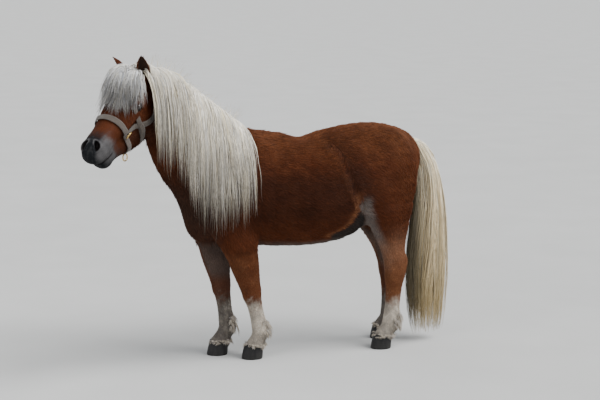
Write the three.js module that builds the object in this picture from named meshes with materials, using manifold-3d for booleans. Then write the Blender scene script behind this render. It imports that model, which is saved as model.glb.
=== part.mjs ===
// A Shetland pony standing still, life size, in millimetres, wearing a webbing headcollar.
// Frame while modelling: +X is the animal's left, +Y runs from nose to tail, +Z is up, the ground is z = 0.
// The flesh is one smooth field of swept ellipses. Each part is the skin of that field inside its own
// region, and the hair is made of flat tapered locks that follow the skin. The last lines centre the box.

import * as THREE from 'three';
import { mergeVertices } from 'three/addons/utils/BufferGeometryUtils.js';
import Module from 'manifold-3d';

const wasm = await Module();
wasm.setup();

// Driving dimensions

const WITHERS = 912; // height of the withers, without the mane
const CROUP = 950; // height of the croup
const BELLY = 450; // height of the belly above the ground
const GAP = 0.35; // space kept between nodes that touch
const SEAT = 0.6; // space kept under hair and straps, where two curved faces lie on each other
const HEAD_TURN = 41; // degrees the face is turned to the animal's left
const HEAD_DROP = 35.5; // degrees the face slopes below level
const POLL = new THREE.Vector3(62, -514, 1130); // middle of the skull between the ears
const EYE = { along: 124, up: 4, out: 60, radius: 18, lid: 3 };
const LIDS = { lens: 27, shift: 17.5, out: 14 }; // two big balls whose shared lens opens the lids
const MOUTH = { along: 330, up: -53, groove: 2.6, reach: 1.85, rise: 5, turns: 16 };
const NOSTRIL = { along: 376, up: 22, out: 30, sizes: [15, 11, 19], turn: [-0.5, -0.95, 0.35] };
const EAR = { along: 6, up: 34, out: 44, length: 100, width: 28, wall: 5 };
const HOOF = { height: 56, sole: [39, 46], lean: 12, slant: 0.3 };
const STRAP = { width: 23, thick: 3.4, lift: 2.6 };
const RING = { radius: 14, wire: 2.5, over: 8 };

const vec = (x, y, z) => new THREE.Vector3(x, y, z);
const radians = THREE.MathUtils.degToRad;
const lerp = THREE.MathUtils.lerp;
const clamp = THREE.MathUtils.clamp;

// Field: each function gives a distance to the skin, below zero inside the flesh

// Rows of numbers with smooth values between them, by a Catmull-Rom curve through every row.
function smoothRows(rows, steps) {
  const made = [];
  const last = rows.length - 1;
  for (let i = 0; i < last; i++) {
    const around = [i - 1, i, i + 1, i + 2].map((n) => rows[clamp(n, 0, last)]);
    for (let s = 0; s < steps; s++) {
      const t = s / steps;
      made.push(rows[i].map((_, k) => {
        const [a, b, c, d] = around.map((row) => row[k]);
        const bend = 2 * a - 5 * b + 4 * c - d;
        const twist = 3 * b - a - 3 * c + d;
        return 0.5 * (2 * b + (c - a) * t + bend * t * t + twist * t * t * t);
      }));
    }
  }
  made.push(rows[last]);
  return made;
}

// An ellipse swept along a smooth line. Each row is [x, y, z, half width, half depth].
// egg narrows the side that the depth axis points to, and widens the other.
function sweep(rows, { lateral = vec(1, 0, 0), steps = 3, egg = 0 } = {}) {
  const stations = smoothRows(rows, steps);
  const links = stations.slice(1).map((to, i) => {
    const from = stations[i];
    const start = vec(...from);
    const along = vec(...to).sub(start);
    const length = along.length();
    const axis = along.clone().divideScalar(length);
    const wide = lateral.clone().addScaledVector(axis, -lateral.dot(axis)).normalize();
    const deep = vec().crossVectors(wide, axis);
    return { start, axis, length, wide, deep, from, to };
  });
  const q = vec();
  return (p) => {
    let best = Infinity;
    for (const { start, axis, length, wide, deep, from, to } of links) {
      q.subVectors(p, start);
      const reach = q.dot(axis);
      const t = clamp(reach / length, 0, 1);
      const past = reach - t * length;
      q.addScaledVector(axis, -t * length);
      const depth = lerp(from[4], to[4], t);
      const v = q.dot(deep) / depth;
      const width = lerp(from[3], to[3], t) * (1 - egg * clamp(v, -1, 1));
      const u = q.dot(wide) / width;
      const w = past / Math.min(width, depth);
      const share = Math.sqrt(u * u + v * v + w * w);
      const d = share < 1e-6 ? -Math.min(width, depth) : q.length() * (1 - 1 / share);
      if (d < best) best = d;
    }
    return best;
  };
}

// An ellipsoid with its own half sizes, turned by Euler angles in degrees.
function ball(centre, sizes, turn = [0, 0, 0]) {
  const back = new THREE.Quaternion().setFromEuler(new THREE.Euler(...turn.map(radians))).invert();
  const q = vec();
  return (p) => {
    q.subVectors(p, centre).applyQuaternion(back);
    const share = Math.sqrt((q.x / sizes[0]) ** 2 + (q.y / sizes[1]) ** 2 + (q.z / sizes[2]) ** 2);
    return share < 1e-6 ? -Math.min(...sizes) : q.length() * (1 - 1 / share);
  };
}

// Two distances joined with a fillet about as wide as blend
function fillet(a, b, blend) {
  const h = Math.max(blend - Math.abs(a - b), 0) / blend;
  return Math.min(a, b) - (h * h * blend) / 4;
}

// The first field with each other one filleted into it.
const joined = (first, others) => (p) => others.reduce(
  (d, [field, blend]) => fillet(d, field(p), blend),
  first(p),
);

// Trunk and neck

const trunk = joined(
  sweep([
    [0, -262, 628, 62, 76],
    [0, -205, 640, 110, 140],
    [0, -85, (WITHERS + BELLY) / 2 - 5.5, 138, 212],
    [0, 60, (WITHERS + BELLY) / 2 - 5, 164, 224],
    [0, 200, (WITHERS + BELLY) / 2 - 8, 187, 226],
    [0, 305, (CROUP + BELLY) / 2 - 6, 186, 230],
    [0, 400, CROUP - 209.5, 170, 205],
    [0, 490, CROUP - 171, 148, 168],
    [0, 585, CROUP - 165, 112, 135],
    [0, 640, CROUP - 160, 66, 82],
  ], { egg: -0.06 }),
  [
    [ball(vec(0, 20, 850), [44, 110, 66]), 60], // withers
    [ball(vec(0, -252, 566), [80, 62, 80]), 50], // breast
    [ball(vec(0, 380, 512), [30, 56, 26], [12, 0, 0]), 24], // sheath
  ],
);

const NECK_WIDE = vec(0.97, 0.24, 0); // the neck turns a little to the left, and its width with it
const NECK = [
  [0, -150, 742, 120, 214],
  [2, -238, 818, 104, 192],
  [8, -306, 890, 88, 168],
  [20, -362, 973, 76, 145],
  [38, -414, 1047, 66, 118],
  [58, -462, 1099, 56, 90],
];
const neck = sweep(NECK, { lateral: NECK_WIDE, egg: 0.2 });

// Head, in its own frame: along runs from the poll to the lips, left to its left, up out of the face

const turn = radians(HEAD_TURN);
const drop = radians(HEAD_DROP);
const ALONG = vec(Math.sin(turn) * Math.cos(drop), -Math.cos(turn) * Math.cos(drop), -Math.sin(drop));
const LEFT = vec(Math.cos(turn), Math.sin(turn), 0);
const FACE = vec().crossVectors(ALONG, LEFT);
const headFrame = new THREE.Matrix4().makeBasis(ALONG, LEFT, FACE).setPosition(POLL);
const headBack = headFrame.clone().invert();
const onHead = (along, left, up) => vec(along, left, up).applyMatrix4(headFrame);

// Rows of a sweep along the head: [along, up, half width, half depth], and how far to the left it runs
const headSweep = (rows, lefts = []) => sweep(
  rows.map(([along, up, wide, deep], i) => [along, lefts[i] ?? 0, up, wide, deep]),
  { lateral: vec(0, 1, 0) },
);

const CHEEK_CREST = [[140, -16, 9, 9], [185, -22, 8, 8], [232, -28, 6, 6]];
const CHEEK_CREST_OUT = [64, 58, 51];
const skull = joined(
  headSweep([
    [-14, -8, 52, 50],
    [45, -2, 70, 58],
    [105, -2, 79, 60],
    [165, -1, 68, 59],
    [230, -4, 58, 54],
    [290, -5, 52, 48],
    [340, -7, 55, 48],
    [380, -15, 49, 39],
  ]),
  [
    [headSweep([
      [34, -76, 46, 74],
      [92, -88, 52, 78],
      [155, -88, 47, 72],
      [225, -80, 38, 56],
      [285, -70, 35, 45],
      [335, -66, 40, 34],
      [364, -68, 34, 24],
    ]), 28], // jaw
    [ball(vec(350, 0, -86), [27, 28, 18]), 10], // chin
    ...[-1, 1].flatMap((side) => [
      [ball(vec(86, side * 46, -70), [68, 28, 80]), 22], // cheek muscle
      [ball(vec(116, side * 60, 32), [32, 16, 13], [0, 0, side * -12]), 14], // brow over the eye
      [headSweep(CHEEK_CREST, CHEEK_CREST_OUT.map((out) => side * out)), 14],
      [ball(vec(362, side * 31, 0), [27, 20, 28], [0, 0, side * 16]), 12], // nostril wing
      [ball(vec(-2, side * 42, 24), [26, 24, 24]), 22], // ear root
    ]),
  ],
);
const head = (p) => skull(p.clone().applyMatrix4(headBack));

// Legs: joints in the body's frame, and half widths and half depths shared by left and right

const limb = (joints, girths) => sweep(girths.map(([from, to, share, wide, deep, forward = 0]) => {
  const at = joints[from].clone().lerp(joints[to], share);
  return [at.x, at.y - forward, at.z, wide, deep];
}));

// Each row: [from joint, to joint, share of the way, half width, half depth, step forward]
const FORE_GIRTHS = [
  ['elbow', 'knee', 0, 52, 70],
  ['elbow', 'knee', 0.32, 46, 65],
  ['elbow', 'knee', 0.55, 40, 57],
  ['elbow', 'knee', 0.78, 35, 47],
  ['elbow', 'knee', 0.94, 34, 42],
  ['knee', 'fetlock', 0.06, 34, 39, 2],
  ['knee', 'fetlock', 0.24, 26, 33],
  ['knee', 'fetlock', 0.55, 23, 30],
  ['knee', 'fetlock', 0.84, 26, 33],
  ['fetlock', 'coronet', 0, 29, 36],
  ['fetlock', 'coronet', 0.45, 27, 32],
  ['fetlock', 'coronet', 1, 35, 39],
];
const HIND_GIRTHS = [
  ['stifle', 'hock', 0, 64, 104],
  ['stifle', 'hock', 0.25, 56, 88],
  ['stifle', 'hock', 0.5, 45, 68],
  ['stifle', 'hock', 0.76, 36, 54],
  ['hock', 'fetlock', 0, 34, 52],
  ['hock', 'fetlock', 0.18, 31, 46],
  ['hock', 'fetlock', 0.38, 26, 36],
  ['hock', 'fetlock', 0.7, 25, 32],
  ['fetlock', 'coronet', 0, 30, 38],
  ['fetlock', 'coronet', 0.45, 28, 33],
  ['fetlock', 'coronet', 1, 36, 40],
];

const LEGS = {
  foreleg_left: {
    girths: FORE_GIRTHS,
    joints: {
      elbow: vec(88, -116, 478),
      knee: vec(66, -60, 272),
      fetlock: vec(57, -21, 108),
      coronet: vec(55, -44, 50),
    },
  },
  foreleg_right: {
    girths: FORE_GIRTHS,
    joints: {
      elbow: vec(-88, -178, 482),
      knee: vec(-64, -150, 284),
      fetlock: vec(-56, -129, 112),
      coronet: vec(-54, -160, 50),
    },
  },
  hindleg_left: {
    girths: HIND_GIRTHS,
    joints: {
      stifle: vec(100, 524, 590),
      hock: vec(87, 564, 345),
      fetlock: vec(83, 548, 106),
      coronet: vec(83, 516, 50),
    },
  },
  hindleg_right: {
    girths: HIND_GIRTHS,
    joints: {
      stifle: vec(-100, 528, 592),
      hock: vec(-86, 606, 345),
      fetlock: vec(-78, 608, 106),
      coronet: vec(-78, 580, 50),
    },
  },
};

const HEEL_BONE = { from: vec(0, 30, 26), sizes: [20, 24, 34], turn: [12, 0, 0] }; // from the hock
function legField({ joints, girths }) {
  const field = limb(joints, girths);
  if (!joints.hock) return field;
  const heel = ball(joints.hock.clone().add(HEEL_BONE.from), HEEL_BONE.sizes, HEEL_BONE.turn);
  return joined(field, [[heel, 18]]);
}

// Muscle over the shoulder blade and upper arm, and over the haunch, thigh and buttock
const shoulder = (side, { elbow }) => sweep([
  [side * 62, -30, 850, 42, 70],
  [side * 94, -100, 740, 52, 92],
  [side * 106, -185, 640, 50, 82],
  [side * 100, -160, 560, 52, 84],
  [elbow.x, elbow.y, elbow.z, 52, 70],
]);
const haunch = (side, { stifle }) => sweep([
  [side * 78, 500, 860, 62, 96],
  [side * 92, 520, 770, 76, 128],
  [side * 98, 516, 680, 74, 132],
  [stifle.x, stifle.y, stifle.z, 62, 100],
]);

const SIDES = [['left', 1], ['right', -1]];
const flesh = joined(trunk, [
  [neck, 70],
  [head, 34],
  ...SIDES.flatMap(([side, sign]) => {
    const fore = LEGS[`foreleg_${side}`];
    const hind = LEGS[`hindleg_${side}`];
    return [
      [joined(shoulder(sign, fore.joints), [[legField(fore), 24]]), 34],
      [joined(haunch(sign, hind.joints), [[legField(hind), 24]]), 44],
    ];
  }),
]);

const slopeAt = (p, field = flesh, step = 1) => vec(
  field(vec(p.x + step, p.y, p.z)) - field(vec(p.x - step, p.y, p.z)),
  field(vec(p.x, p.y + step, p.z)) - field(vec(p.x, p.y - step, p.z)),
  field(vec(p.x, p.y, p.z + step)) - field(vec(p.x, p.y, p.z - step)),
).divideScalar(2 * step);

// Meshing: a surface net of the field, pulled onto its zero level and evened out

const CELL_CORNERS = [0, 1, 2, 3, 4, 5, 6, 7].map((n) => [n & 1, (n >> 1) & 1, n >> 2]);
const CELL_EDGES = CELL_CORNERS.flatMap((from, a) => [1, 2, 4]
  .filter((step) => (a & step) === 0)
  .map((step) => [from, CELL_CORNERS[a | step]]));
function skinGeometry(field, { low, high, cell, frame = new THREE.Matrix4() }) {
  const span = high.clone().sub(low).toArray();
  const [nx, ny, nz] = span.map((length, k) => Math.ceil(length / cell[k]) + 1);
  const at = (i, j, k) => (k * ny + j) * nx + i;
  const place = (i, j, k) => vec(i, j, k).multiply(vec(...cell)).add(low).applyMatrix4(frame);
  const cells = [];
  const values = new Float64Array(nx * ny * nz);
  for (let n = 0; n < values.length; n++) {
    const [i, j, k] = [n % nx, Math.floor(n / nx) % ny, Math.floor(n / (nx * ny))];
    const rim = i === 0 || j === 0 || k === 0 || i === nx - 1 || j === ny - 1 || k === nz - 1;
    const d = field(place(i, j, k));
    values[n] = rim ? Math.max(d, 1) : d;
    if (i < nx - 1 && j < ny - 1 && k < nz - 1) cells.push([i, j, k]);
  }
  const index = new Map();
  const points = [];
  const pointOf = (i, j, k) => {
    const key = at(i, j, k);
    if (!index.has(key)) {
      const sum = vec();
      let n = 0;
      for (const [from, to] of CELL_EDGES) {
        const va = values[at(i + from[0], j + from[1], k + from[2])];
        const vb = values[at(i + to[0], j + to[1], k + to[2])];
        if (va < 0 === vb < 0) continue;
        const [a, b, c] = from.map((value, axis) => lerp(value, to[axis], va / (va - vb)));
        sum.add(place(i + a, j + b, k + c));
        n += 1;
      }
      index.set(key, points.length);
      points.push(sum.divideScalar(n));
    }
    return index.get(key);
  };
  const faces = [];
  const quad = (a, b, c, d, flip) => {
    const shortAC = points[a].distanceTo(points[c]) < points[b].distanceTo(points[d]);
    const pair = shortAC ? [[a, b, c], [a, c, d]] : [[a, b, d], [b, c, d]];
    for (const t of pair) faces.push(flip ? t : [t[0], t[2], t[1]]);
  };
  for (const [i, j, k] of cells) {
    const here = values[at(i, j, k)] < 0;
    if (j > 0 && k > 0 && here !== values[at(i + 1, j, k)] < 0) {
      quad(pointOf(i, j, k), pointOf(i, j - 1, k), pointOf(i, j - 1, k - 1), pointOf(i, j, k - 1), here);
    }
    if (i > 0 && k > 0 && here !== values[at(i, j + 1, k)] < 0) {
      quad(pointOf(i, j, k), pointOf(i, j, k - 1), pointOf(i - 1, j, k - 1), pointOf(i - 1, j, k), here);
    }
    if (i > 0 && j > 0 && here !== values[at(i, j, k + 1)] < 0) {
      quad(pointOf(i, j, k), pointOf(i - 1, j, k), pointOf(i - 1, j - 1, k), pointOf(i, j - 1, k), here);
    }
  }
  relax(points, faces, field, Math.min(...cell), low, high, frame);
  const geometry = new THREE.BufferGeometry().setFromPoints(points);
  geometry.setIndex(faces.flat());
  return geometry;
}

// Points inside the region move to the middle of their neighbours and back onto the skin, three times,
// and then once more onto the skin alone.
const EASING = { rounds: 3, share: 0.5, rim: 1.6, pulls: 2 };
function relax(points, faces, field, cell, low, high, frame) {
  const back = frame.clone().invert();
  const near = points.map(() => new Set());
  for (const [a, b, c] of faces) {
    near[a].add(b).add(c);
    near[b].add(a).add(c);
    near[c].add(a).add(b);
  }
  const inside = points.map((p) => {
    const q = p.clone().applyMatrix4(back);
    const rim = EASING.rim * cell;
    return new THREE.Box3(low, high).expandByScalar(-rim).containsPoint(q);
  });
  for (let round = 0; round <= EASING.rounds; round++) {
    const moved = points.map((p, i) => {
      if (!inside[i]) return p.clone();
      const middle = vec();
      for (const n of near[i]) middle.add(points[n]);
      const share = round < EASING.rounds ? EASING.share : 0;
      const next = p.clone().lerp(middle.divideScalar(near[i].size), share);
      for (let n = 0; n < EASING.pulls; n++) {
        const g = slopeAt(next, field, 0.5);
        const move = clamp(field(next) / Math.max(g.lengthSq(), 0.05), -cell / 2, cell / 2);
        next.addScaledVector(g, -move);
      }
      return next;
    });
    moved.forEach((p, i) => points[i].copy(p));
  }
}

// Solids

// A closed skin over a row of rings, all with the same number of points. The ends are fans, or the rings
// close up into a loop.
const SHORTEST = 2e-3; // a face with a shorter edge is left out
function tube(rings, closed = false) {
  const count = rings[0].length;
  const points = rings.flat();
  const faces = [];
  const quads = (closed ? rings.length : rings.length - 1) * count;
  for (let a = 0; a < quads; a++) {
    const i = a % count;
    const b = a - i + ((i + 1) % count);
    const [c, d] = [a, b].map((n) => (n + count) % points.length);
    const split = points[a].distanceTo(points[d]) < points[b].distanceTo(points[c]);
    faces.push(...(split ? [[a, b, d], [a, d, c]] : [[a, b, c], [b, d, c]]));
  }
  if (!closed) {
    const end = points.length - count;
    for (let i = 1; i < count - 1; i++) {
      faces.push([0, i + 1, i]);
      faces.push([end, end + i, end + i + 1]);
    }
  }
  const real = faces.filter((face) => face.every((from, k) =>
    points[from].distanceTo(points[face[(k + 1) % 3]]) > SHORTEST));
  const geometry = new THREE.BufferGeometry().setFromPoints(points);
  geometry.setIndex(real.flat());
  return solid(geometry);
}

// A closed body of a geometry, with its faces turned outward
function solid(geometry, matrix = new THREE.Matrix4()) {
  const bare = new THREE.BufferGeometry();
  bare.setAttribute('position', geometry.attributes.position.clone());
  bare.setIndex(geometry.index);
  bare.applyMatrix4(matrix);
  const merged = mergeVertices(bare, 1e-3);
  const triangles = Array.from(merged.index.array);
  const vertices = merged.attributes.position;
  const [a, b, c] = [vec(), vec(), vec()];
  let volume = 0;
  for (let i = 0; i < triangles.length; i += 3) {
    [a, b, c].forEach((corner, k) => corner.fromBufferAttribute(vertices, triangles[i + k]));
    volume += a.dot(b.cross(c));
  }
  if (volume < 0) triangles.reverse();
  return new wasm.Manifold(new wasm.Mesh({
    numProp: 3,
    vertProperties: vertices.array,
    triVerts: new Uint32Array(triangles),
  }));
}

function geometryOf(made) {
  const mesh = made.getMesh();
  return new THREE.BufferGeometry()
    .setAttribute('position', new THREE.BufferAttribute(new Float32Array(mesh.vertProperties), 3))
    .setIndex(new THREE.BufferAttribute(new Uint32Array(mesh.triVerts), 1));
}

const largest = (made) => made.decompose().sort((a, b) => b.volume() - a.volume())[0];
const addAll = (solids) => solids.reduce((sum, next) => sum.add(next));
const clearOf = (made, seats) => seats.reduce((left, seat) => left.subtract(seat), made);

const moved = (point, normal, away) => point.clone().addScaledVector(normal.clone().normalize(), away);

// A huge box whose face lies on a plane: it fills the side that the normal points to.
function halfSpace(point, normal) {
  const size = 4000;
  const turned = new THREE.Quaternion().setFromUnitVectors(vec(0, 0, 1), normal.clone().normalize());
  const centre = moved(point, normal, size / 2);
  const matrix = new THREE.Matrix4().compose(centre, turned, vec(1, 1, 1));
  return solid(new THREE.BoxGeometry(size, size, size), matrix);
}

// The room where every plane's normal side meets. grow moves the planes outward.
const room = (planes, grow = 0) => planes
  .map(([point, normal]) => halfSpace(moved(point, normal, -grow), normal))
  .reduce((sum, next) => sum.intersect(next));

// Walking on the skin

// Height over the skin, in millimetres along its normal
const height = (p) => flesh(p) / Math.max(slopeAt(p).length(), 0.3);

// The first point where a ray from inside leaves the field.
function toSkin(from, direction, field = flesh, level = 0) {
  const stride = 5;
  const reach = 400;
  let far = 0;
  while (far < reach && field(from.clone().addScaledVector(direction, far)) < level) far += stride;
  let near = Math.max(far - stride, 0);
  for (let n = 0; n < 22; n++) {
    const middle = (near + far) / 2;
    if (field(from.clone().addScaledVector(direction, middle)) < level) near = middle;
    else far = middle;
  }
  return from.clone().addScaledVector(direction, near);
}

// A line that starts at a root, sinks under its own weight and never comes nearer to the skin than its
// lift. It may bend at the distances in steps, and pull is how far it turns downward in each 50 mm.
function drape({ root, heading, length, steps, lift, pull, field = flesh }) {
  const spine = [{ p: root.clone(), n: slopeAt(root, field).normalize() }];
  const way = heading.clone().normalize();
  const down = vec(0, 0, -1);
  const pushes = 4;
  let gone = 0;
  for (const reach of [...steps.filter((step) => step < length * 0.72), length * 0.85, length]) {
    const step = reach - gone;
    way.lerp(down, 1 - (1 - pull) ** (step / 50)).normalize();
    const last = spine[spine.length - 1].p;
    const p = last.clone().addScaledVector(way, step);
    for (let n = 0; n < pushes; n++) {
      const g = slopeAt(p, field);
      const short = lift - field(p);
      if (short > 0) p.addScaledVector(g, short / Math.max(g.lengthSq(), 0.2));
    }
    way.subVectors(p, last).normalize();
    spine.push({ p, n: slopeAt(p, field).normalize() });
    gone = reach;
  }
  return spine;
}

// Nodes

const CHESTNUT = 0x6d3219;
const STOCKING = 0xb9ab98;
const HORN = 0x3d3a3a;
const FLAXEN = 0xd9cdb4;
const WEBBING = 0x9d8b78;
const BRASS = 0xb8933f;
const EYE_BROWN = 0x1c0f0a;
const pony = new THREE.Group();
function addNode(name, made, color, roughness = 0.8, metalness = 0) {
  const material = new THREE.MeshStandardMaterial({ color, roughness, metalness });
  const mesh = new THREE.Mesh(geometryOf(largest(made)), material);
  mesh.name = name;
  pony.add(mesh);
}

// Regions of the flesh and the grid of each
const REGIONS = {
  torso: { low: vec(-240, -360, 380), high: vec(240, 740, 1010), cell: [42, 46, 42] },
  neck: { low: vec(-190, -600, 430), high: vec(230, 70, 1240), cell: [39, 39, 39] },
  head: { low: vec(-80, -118, -190), high: vec(440, 118, 98), cell: [25, 18.5, 18.5], frame: headFrame },
};
const skins = Object.fromEntries(
  Object.entries(REGIONS).map(([name, grid]) => [name, skinGeometry(flesh, grid)]),
);

// The same skin with every point moved out along its normal, for the room under hair and straps
function swollen(geometry, amount = SEAT) {
  const grown = geometry.clone();
  grown.computeVertexNormals();
  const { position, normal } = grown.attributes;
  const p = vec();
  for (let i = 0; i < position.count; i++) {
    p.fromBufferAttribute(normal, i).multiplyScalar(amount);
    position.setXYZ(i, position.getX(i) + p.x, position.getY(i) + p.y, position.getZ(i) + p.z);
  }
  return solid(grown);
}

// Planes that part the flesh, each a point and the side that is kept
const HEAD_ROOM = [
  [onHead(-14, 0, -30), onHead(0.97, 0, 0.24).sub(POLL)],
  [onHead(40, 0, -152), onHead(0.36, 0, 0.93).sub(POLL)],
];
const SHOULDERS = [vec(0, -176, 748), vec(0, -0.83, 0.56)];
const flipped = ([point, normal]) => [point, normal.clone().negate()];

// Legs: the room that each one takes, the slanted plane over its hoof, and its own finer grid
function legRoom(name, { joints }) {
  const side = Math.sign(joints.fetlock.x);
  const inner = [vec(side * 20, 0, 0), vec(side, 0, 0)];
  if (name.startsWith('fore')) {
    const top = [vec(side * 88, joints.elbow.y, 478), vec(side * 0.42, 0, -0.91)];
    return [top, inner, [vec(0, -30, 478), vec(0, -0.8, -0.6)]];
  }
  const top = [vec(side * 100, joints.stifle.y, 566), vec(side * 0.3, 0.1, -0.95)];
  return [top, inner, [vec(0, 405, 0), vec(0, 1, 0)]];
}
const crownPlane = ({ joints }) => [joints.coronet, vec(0, HOOF.slant, 1)];
const legSkins = {};
const legSeats = {};
for (const [name, leg] of Object.entries(LEGS)) {
  const fore = name.startsWith('fore');
  const { joints } = leg;
  const xs = Object.values(joints).map((j) => j.x);
  const ys = Object.values(joints).map((j) => j.y);
  const low = vec(Math.min(...xs) - 92, Math.min(...ys) - (fore ? 90 : 125), 20);
  const high = vec(Math.max(...xs) + 92, Math.max(...ys) + (fore ? 90 : 110), fore ? 530 : 640);
  const geometry = skinGeometry(flesh, { low, high, cell: fore ? [18, 19, 34] : [19, 21, 36] });
  legSkins[name] = solid(geometry);
  legSeats[name] = swollen(geometry);
}

// Torso, neck and head
let torso = solid(skins.torso).intersect(room([flipped(SHOULDERS)], -GAP / 2));
for (const [name, leg] of Object.entries(LEGS)) {
  torso = torso.subtract(room(legRoom(name, leg), GAP));
  const made = legSkins[name].intersect(room([...legRoom(name, leg), crownPlane(leg)]));
  addNode(name, made, CHESTNUT);
}
addNode('torso', torso, CHESTNUT);
const neckRoom = room([SHOULDERS], -GAP / 2).subtract(room(HEAD_ROOM, GAP));
addNode('neck', solid(skins.neck).intersect(neckRoom), CHESTNUT);

// Eyes and lids: a shell of lid round each ball, open as an almond
const eyeBall = (radius) => new THREE.IcosahedronGeometry(radius, 2);
const eyePlace = (side) => onHead(EYE.along, side * EYE.out, EYE.up);
const eyeSolid = (side, radius) => solid(eyeBall(radius), new THREE.Matrix4().setPosition(eyePlace(side)));
function lidShell(side) {
  const tilt = onHead(0.12, 0, 1).sub(POLL).normalize();
  const outward = onHead(0.45, side, -0.05).sub(POLL).setLength(LIDS.out);
  const [upper, lower] = [1, -1].map((sign) => solid(
    eyeBall(LIDS.lens),
    new THREE.Matrix4().setPosition(eyePlace(side).addScaledVector(tilt, sign * LIDS.shift).add(outward)),
  ));
  return eyeSolid(side, EYE.radius + EYE.lid).subtract(upper.intersect(lower));
}

// Mouth line and nostrils
function mouthGroove() {
  const middle = onHead(MOUTH.along, 0, MOUTH.up);
  const lip = FACE.clone();
  return tube(Array.from({ length: MOUTH.turns + 1 }, (_, i) => {
    const angle = lerp(-MOUTH.reach, MOUTH.reach, i / MOUTH.turns);
    const rise = (MOUTH.rise / 60) * Math.abs(Math.sin(angle)) ** 3;
    const direction = onHead(Math.cos(angle), Math.sin(angle), rise).sub(POLL).normalize();
    const p = toSkin(middle, direction);
    const radius = MOUTH.groove * (1 - 0.5 * (Math.abs(angle) / MOUTH.reach) ** 4);
    return [[3, 0], [0, radius], [-5, 0], [0, -radius]].map(([out, up]) => p.clone()
      .addScaledVector(direction, out)
      .addScaledVector(lip, up));
  }));
}
function nostril(side) {
  const [roll, pitch, yaw] = NOSTRIL.turn;
  const turned = new THREE.Quaternion().setFromEuler(new THREE.Euler(side * roll, pitch, side * yaw));
  const place = vec(NOSTRIL.along, side * NOSTRIL.out, NOSTRIL.up);
  const matrix = new THREE.Matrix4().compose(place, turned, vec(...NOSTRIL.sizes));
  return solid(new THREE.IcosahedronGeometry(1, 2), matrix.premultiply(headFrame));
}

let headMade = solid(skins.head).intersect(room(HEAD_ROOM));
for (const [, side] of SIDES) headMade = headMade.add(lidShell(side));
for (const [name, side] of SIDES) {
  headMade = headMade.subtract(eyeSolid(side, EYE.radius + GAP)).subtract(nostril(side));
  addNode(`eye_${name}`, eyeSolid(side, EYE.radius), EYE_BROWN, 0.1);
}
addNode('head', headMade.subtract(mouthGroove()), CHESTNUT);

// Ears: a leaf-shaped cup that opens outward and forward
const headSeat = swollen(skins.head);
const EAR_FOOT = -22; // how far the root of the ear's outer wall reaches below its base
const EAR_LEAF = [[0, 0.66], [0.16, 0.86], [0.36, 1], [0.58, 0.93], [0.78, 0.68], [0.92, 0.38], [1, 0.08]];
const EAR_LEAN = { left: 0.2, right: 0.4 }; // how far each ear leans toward AHEAD
const AHEAD = vec(-0.317, -0.948, 0); // level, to the front and a little to the right
const EAR_POSE = { out: 0.16, face: 0.35, openOut: 0.8, openAhead: 0.6 };
const EAR_SECTION = { around: 10, flat: 0.72, cup: 9, cupFrom: 14 };
function earCup(side, shrink, forward, lowest) {
  const base = onHead(EAR.along, side * EAR.out, EAR.up);
  const lean = side > 0 ? EAR_LEAN.left : EAR_LEAN.right;
  const up = LEFT.clone().multiplyScalar(side * EAR_POSE.out)
    .addScaledVector(FACE, EAR_POSE.face)
    .addScaledVector(AHEAD, lean)
    .add(vec(0, 0, 1))
    .normalize();
  const open = LEFT.clone().multiplyScalar(side * EAR_POSE.openOut)
    .addScaledVector(vec(ALONG.x, ALONG.y, 0).normalize(), EAR_POSE.openAhead)
    .normalize();
  const front = open.addScaledVector(up, -open.dot(up)).normalize();
  const across = vec().crossVectors(up, front);
  const { around, flat } = EAR_SECTION;
  return tube(EAR_LEAF.map(([t, share]) => {
    const rise = lerp(lowest, EAR.length * (1 - shrink * 0.03), t);
    const radius = Math.max(EAR.width * share - shrink, 0.4);
    const curl = 4 * t - 6 * Math.sin(t * Math.PI);
    return Array.from({ length: around }, (_, k) => {
      const angle = (k / around) * 2 * Math.PI;
      return base.clone()
        .addScaledVector(up, rise)
        .addScaledVector(across, Math.cos(angle) * radius)
        .addScaledVector(front, Math.sin(angle) * radius * flat + forward + curl);
    });
  }));
}
for (const [name, side] of SIDES) {
  const hollow = earCup(side, EAR.wall, EAR_SECTION.cup, EAR_SECTION.cupFrom);
  const cup = earCup(side, 0, 0, EAR_FOOT).subtract(hollow);
  addNode(`ear_${name}`, cup.subtract(headSeat), CHESTNUT);
}

// Hooves: a flat sole on the ground, a sloping toe and a slanted crown under the leg
const HOOF_LAYERS = [[0, 1], [0.35, 0.96], [1, 0.8]]; // share of the height, and of the sole's size
function hoofCone({ x, y }, grow = 0) {
  const rounds = 16;
  return tube(HOOF_LAYERS.map(([t, share]) => Array.from({ length: rounds }, (_, k) => {
    const angle = (k / rounds) * 2 * Math.PI;
    const heel = Math.sin(angle) > 0.8 ? 0.9 : 1;
    return vec(
      x + Math.cos(angle) * (HOOF.sole[0] * share + grow),
      y - HOOF.lean * (1 - t) + Math.sin(angle) * (HOOF.sole[1] * share * heel + grow),
      t * (HOOF.height + 30) - grow,
    );
  })));
}
const hoofSeats = {};
for (const [name, leg] of Object.entries(LEGS)) {
  hoofSeats[name] = hoofCone(leg.joints.coronet, SEAT);
  const made = hoofCone(leg.joints.coronet).subtract(room([crownPlane(leg)], GAP));
  addNode(name.replace(/(fore|hind)leg/, 'hoof_$1'), made, HORN, 0.5);
}

// Hair: flat tapered locks in layers, each layer rooted in a core that ends half way to its tips or sooner

const neckSeat = swollen(skins.neck);
const torsoSeat = swollen(skins.torso);
const earSeats = SIDES.map(([, side]) => earCup(side, -SEAT * 2, 0, EAR_FOOT));

function seededDraw(seed) {
  let state = seed;
  return (low, high) => {
    state = (state * 1664525 + 1013904223) % 4294967296;
    return lerp(low, high, state / 4294967296);
  };
}

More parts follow.
